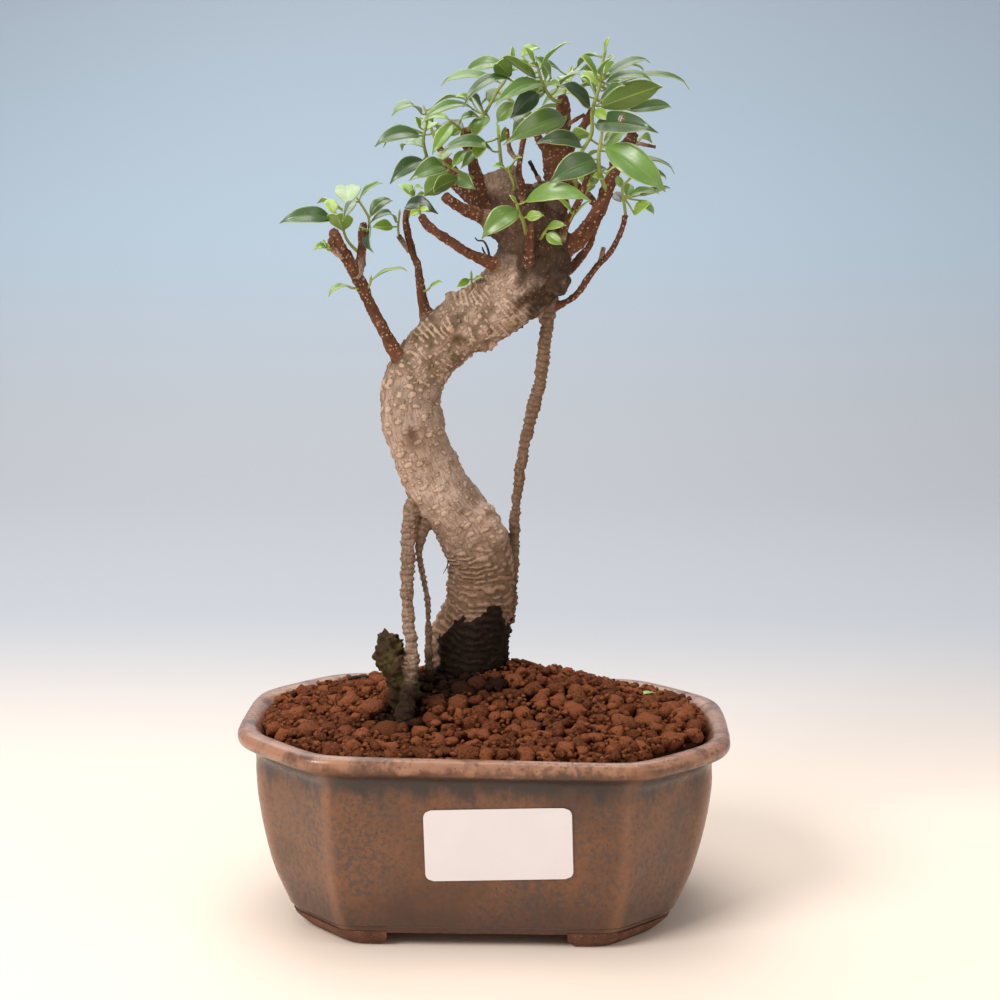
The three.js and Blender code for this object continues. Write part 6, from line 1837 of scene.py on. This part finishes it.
def make_leaf_under():
    leaf, tree, shader = new_material("fig_leaf_underside")
    place = add(tree, "TexCoord").outputs["Object"]
    youth = attribute(tree, "youth")
    midrib, side_veins, margin = blade_veins(tree)
    cloud = use(tree, PATCHES, Vector=place, Size=4.0, Amount=0.5, Softness=0.25)
    grown = mix(tree, cloud, colour(96, 122, 52), colour(114, 138, 62))
    fresh = mix(tree, cloud, colour(138, 176, 70), colour(156, 194, 88))
    base = mix(tree, youth, grown, fresh)
    base = cover(tree, side_veins, 0.14, base, colour(140, 162, 92))
    base = cover(tree, midrib, 0.7, base, colour(172, 190, 120))
    base = cover(tree, margin, 0.4, base, colour(196, 204, 140))
    feed(tree, shader.inputs["Base Color"], base)
    feed(tree, shader.inputs["Roughness"], spread(tree, cloud, 0.0, 1.0, 0.5, 0.62))
    relief = maths(tree, "ADD", side_veins, midrib)
    bump(tree, shader, relief, 0.3, 0.00015)
    let_light_through(shader)
    return leaf


def make_stalk():
    stalk, tree, shader = new_material("green_stalk")
    place = add(tree, "TexCoord").outputs["Object"]
    node_share = attribute(tree, "along")
    cloud = use(tree, PATCHES, Vector=place, Size=2.5, Amount=0.5, Softness=0.25)
    base = mix(tree, cloud, colour(138, 150, 66), colour(160, 170, 84))
    base = mix(tree, spread(tree, node_share, 0.0, 0.35, 0.7, 0.0), base, colour(150, 100, 56))
    feed(tree, shader.inputs["Base Color"], base)
    feed(tree, shader.inputs["Roughness"], spread(tree, cloud, 0.0, 1.0, 0.4, 0.55))
    grain = add(tree, "TexNoise", Vector=place, Scale=3000.0, Detail=2.0).outputs[0]
    bump(tree, shader, grain, 0.2, 0.0001)
    return stalk


LEAF_TOP = make_leaf_top()
LEAF_UNDER = make_leaf_under()
STALK = make_stalk()
LEAF_MATERIALS = [LEAF_TOP, LEAF_UNDER, STALK]

# %% [markdown]
# ## One blade, its stalk and the shoot
#
# A blade starts as a flat grid, shaped point by point: narrow at both ends, folded along the midrib,
# arched, with slightly wavy edges and a drip tip. Solidify then gives it its thickness. Stalk and stem
# are thin tubes, and a shoot ends in a small pointed bud. The leaves in front have their own tone, from 0
# for dark to 1 for light: partly the leaf's own green, and partly painted sheen on leaves that catch the
# light. One has a hole with a brown rim that something has eaten.

# %% Blades
BLADE_THICKNESS = 0.26
WAVE = 0.07
STEM_SLIMNESS = 0.8
BLADE_LAYERS = ("across", "along", "youth", "tone", "scar")
LEAF_HOLES = {("rightMain", 6): (0.4, 0.52, 1.2)}
# Tones of the leaves in front, 0 dark to 1 light: partly their own green, partly painted sheen.
LEAF_TONES_AND_SHEEN = {
    "centre": (0.25,),
    "rightMain": (0.2, 0.45, 0.0, 0.45, 0.6, 0.5, 0.25, 0.9, 0.55, 0.6, 0.6, 0.75, 0.95, 0.6, 0.8, 0.8),
    "rightFront": (0.95, 0.5, 0.6, 0.7, 0.5),
    "front": (0.65, 0.95, 0.5, 0.8),
    "upright": (0.65, 0.3, 0.7, 0.7),
    "leftLow": (0.6, 0.7, 0.3, 0.2, 0.5),
    "topLeft": (0.1, 0.15, 0.5, 0.8, 0.35, 0.8, 0.65, 0.9, 0.7, 0.8),
    "topMiddle": (0.8, 0.8, 0.4, 0.5, 0.5, 0.6, 0.7, 0.8, 0.05, 0.6),
    "tuftLeft": (0.5, 0.8, 0.9, 0.7, 0.8),
}


def pointed_share(t):
    wide = (4 * t * (1 - t)) ** 0.8 if 0 < t < 1 else 0.0
    return wide * (1.12 - 0.3 * t) * (1 - 0.45 * smoothstep(t, 0.8, 1.0))


def add_blade(bm, f, seed, youth, tone, hole=None):
    rows, columns = (48, 28) if hole else (16, 8)
    grid = bmesh.ops.create_grid(bm, x_segments=columns, y_segments=rows, size=0.5)["verts"]
    layers = {name: bm.verts.layers.float[name] for name in BLADE_LAYERS}
    phase = 6.3 * draw(seed, 41)
    half_full = 0.45 * f["width"]
    droop = 0.07 * f["length"]
    for v in grid:
        u = 2 * v.co.x
        t = 0.5 - 0.497 * math.cos(math.pi * (v.co.y + 0.5))
        share = pointed_share(t)
        fold = 0.22 * math.sqrt(u * u + 0.012) - 0.1 * math.exp(-((u / 0.14) ** 2)) - 0.02
        wave = WAVE * math.sin(11 * t + phase + (1.7 if u > 0 else 0)) * u * u
        cup = 0.08 * (u * u - u**4)
        stand = f["arch"] * 4 * t * (1 - t) + half_full * share * (fold + wave - cup)
        stand -= droop * smoothstep(t, 0.86, 1.0) ** 2
        sway = 0.03 * f["width"] * math.sin(3.1 * t + phase) * t * (1 - t) * 4
        along = f["along"] * (f["length"] * t)
        across = f["across"] * (half_full * share * u + sway)
        v.co = f["base"] + along + f["normal"] * stand + across
        v[layers["across"]] = u
        v[layers["along"]] = t
        v[layers["youth"]] = youth
        v[layers["tone"]] = tone
        if hole:
            away = math.hypot((u - hole[0]) * half_full * share, (t - hole[1]) * f["length"])
            v[layers["scar"]] = 1 - smoothstep(away, hole[2], hole[2] + 0.45)
    faces = list({face for v in grid for face in v.link_faces})
    if hole:
        eaten = [face for face in faces if min(v[layers["scar"]] for v in face.verts) > 0.97]
        bmesh.ops.delete(bm, geom=eaten, context="FACES")
        faces = [face for face in faces if face.is_valid]
    bmesh.ops.recalc_face_normals(bm, faces=faces)
    if sum(face.normal.dot(f["normal"]) for face in faces) < 0:
        bmesh.ops.reverse_faces(bm, faces=faces)
    tops = set(faces)
    made = bmesh.ops.solidify(bm, geom=faces, thickness=BLADE_THICKNESS)["geom"]
    for item in made:
        if isinstance(item, bmesh.types.BMFace) and item not in tops:
            item.material_index = 1


def add_stalk(bm, points, radii, youth, steps=6):
    made = add_tube(bm, straight_route(points, radii), 8, steps, material_index=2)
    layer = bm.verts.layers.float["along"]
    youth_layer = bm.verts.layers.float["youth"]
    start = Vector(points[0])
    whole = max((Vector(points[-1]) - start).length, 0.1)
    for v in made:
        v[layer] = min((v.co - start).length / whole, 1)
        v[youth_layer] = youth


def blade_youth(f, tip_of_stem):
    short = 1 - smoothstep(f["length"], 6, 11.5)
    at_tip = 1 - smoothstep((f["base"] - tip_of_stem).length, 1, 3.5)
    return min(1.0, max(short, 0.35 * at_tip))


def add_shoot(bm, name, stem, frames, seed):
    steps = (len(stem.points) - 1) * 5
    points = [stem.at(i / steps) for i in range(steps + 1)]
    slim = straight_route(points, [stem.radius(i / steps) * STEM_SLIMNESS for i in range(steps + 1)])
    made = add_tube(bm, slim, 10, steps * 2, material_index=2)
    layer = bm.verts.layers.float["along"]
    for v in made:
        v[layer] = min(1.0, (v.co - points[0]).length / 5)
    tip = points[-1]
    bud_way = (tip - points[-3]).normalized()
    bud = [tip - bud_way * 0.4, tip + bud_way * 0.7, tip + bud_way * 2.0]
    add_stalk(bm, bud, (0.36, 0.42, 0.05), 1, steps=5)
    for number, f in enumerate(frames):
        root = nearest_on_stem(stem, f["base"])
        youth = blade_youth(f, tip)
        if (root - f["base"]).length > 0.4:
            middle = root.lerp(f["base"], 0.5) - f["normal"] * 0.12 * (root - f["base"]).length
            ends = f["base"] + f["along"] * 0.05 * f["length"] + f["normal"] * 0.1 * f["arch"]
            add_stalk(bm, [root, middle, ends], (0.36, 0.3, 0.26), youth)
        tones = LEAF_TONES_AND_SHEEN.get(name, ())
        tone = tones[number] if number < len(tones) else draw(seed * 31 + number, 42)
        add_blade(bm, f, seed * 31 + number, youth, tone, LEAF_HOLES.get((name, number)))


def new_foliage():
    bm = bmesh.new()
    for name in BLADE_LAYERS:
        bm.verts.layers.float.new(name)
    return bm


# %% The shoots
for seed, (name, frames) in enumerate(CLEAR_FRAMES.items()):
    foliage = new_foliage()
    add_shoot(foliage, name, STEMS[name], frames, seed + 1)
    piece_from(foliage, "leaves_" + name, LEAF_MATERIALS, [name], turn=VIEW_TURN)

# %% [markdown]
# ## What lies on the soil
#
# A small green leaf and a short black twig have fallen on the soil. Both lie where their solids do, read
# back from the model, and are shaped with the same tools as the living ones. Three dry black hairs, no
# more than torn strips of bark, stand on the tree itself.

# %% Fallen leaf and dead twig
low, high = (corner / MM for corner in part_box("fallen_leaf"))
fallen_frame = {
    "base": Vector((low.x + 0.4, low.y + 0.5, (low.z + high.z) / 2 - 0.2)),
    "length": 6.4,
    "normal": Vector((0, 0, 1)),
    "width": 2.8,
    "arch": 0.5,
}
fallen_frame["along"] = Vector((high.x - low.x - 0.8, high.y - low.y - 1.0, 0)).normalized()
fallen_frame["across"] = fallen_frame["normal"].cross(fallen_frame["along"])
foliage = new_foliage()
add_blade(foliage, fallen_frame, 900, 0.7, 0.8)
piece_from(foliage, "leaf_on_soil", LEAF_MATERIALS, ["fallen_leaf"])


def make_dead_wood():
    dead, tree, shader = new_material("dead_black_twig")
    place = add(tree, "TexCoord").outputs["Object"]
    grain = add(tree, "TexNoise", Vector=place, Scale=1800.0, Detail=4.0).outputs[0]
    feed(tree, shader.inputs["Base Color"], mix(tree, grain, colour(30, 22, 20), colour(64, 50, 44)))
    feed(tree, shader.inputs["Roughness"], spread(tree, grain, 0.2, 0.8, 0.75, 0.95))
    bump(tree, shader, grain, 0.6, 0.0003)
    return dead


DEAD_WOOD = make_dead_wood()
DRY_HAIRS = [
    [
        (2.3, 207.2, -1, 0.4), (1.6, 210.2, -1.2, 0.34), (0.4, 212.2, -1.5, 0.3),
        (-1.4, 212.4, -1.8, 0.25), (-2.3, 213.4, -2, 0.15),
    ],
    [(1.3, 207.6, -1.2, 0.35), (0.4, 209.2, -1.6, 0.3), (0, 210.4, -1.8, 0.2)],
    [(-10.2, 115, 8, 0.25), (-11, 112, 6, 0.2), (-11.2, 110, 5.4, 0.18), (-12.5, 107.4, 5, 0.1)],
]
hairs = bmesh.new()
for points in DRY_HAIRS:
    add_tube(hairs, Route(points), 8, 16)
piece_from(hairs, "dry_hairs", [DEAD_WOOD], turn=VIEW_TURN)

low, high = (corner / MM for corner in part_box("dead_twig"))
twig_z = (low.z + high.z) / 2
twig_points = [
    (low.x, low.y + 0.6, twig_z),
    ((low.x + high.x) / 2, (low.y + high.y) / 2 + 0.3, twig_z + 0.4),
    (high.x, high.y - 0.6, twig_z - 0.1),
]
twig = bmesh.new()
add_tube(twig, straight_route(twig_points, (0.75, 0.6, 0.4)), 12, 14, shape=limb_shape(3))
piece_from(twig, "twig_on_soil", [DEAD_WOOD], ["dead_twig"])
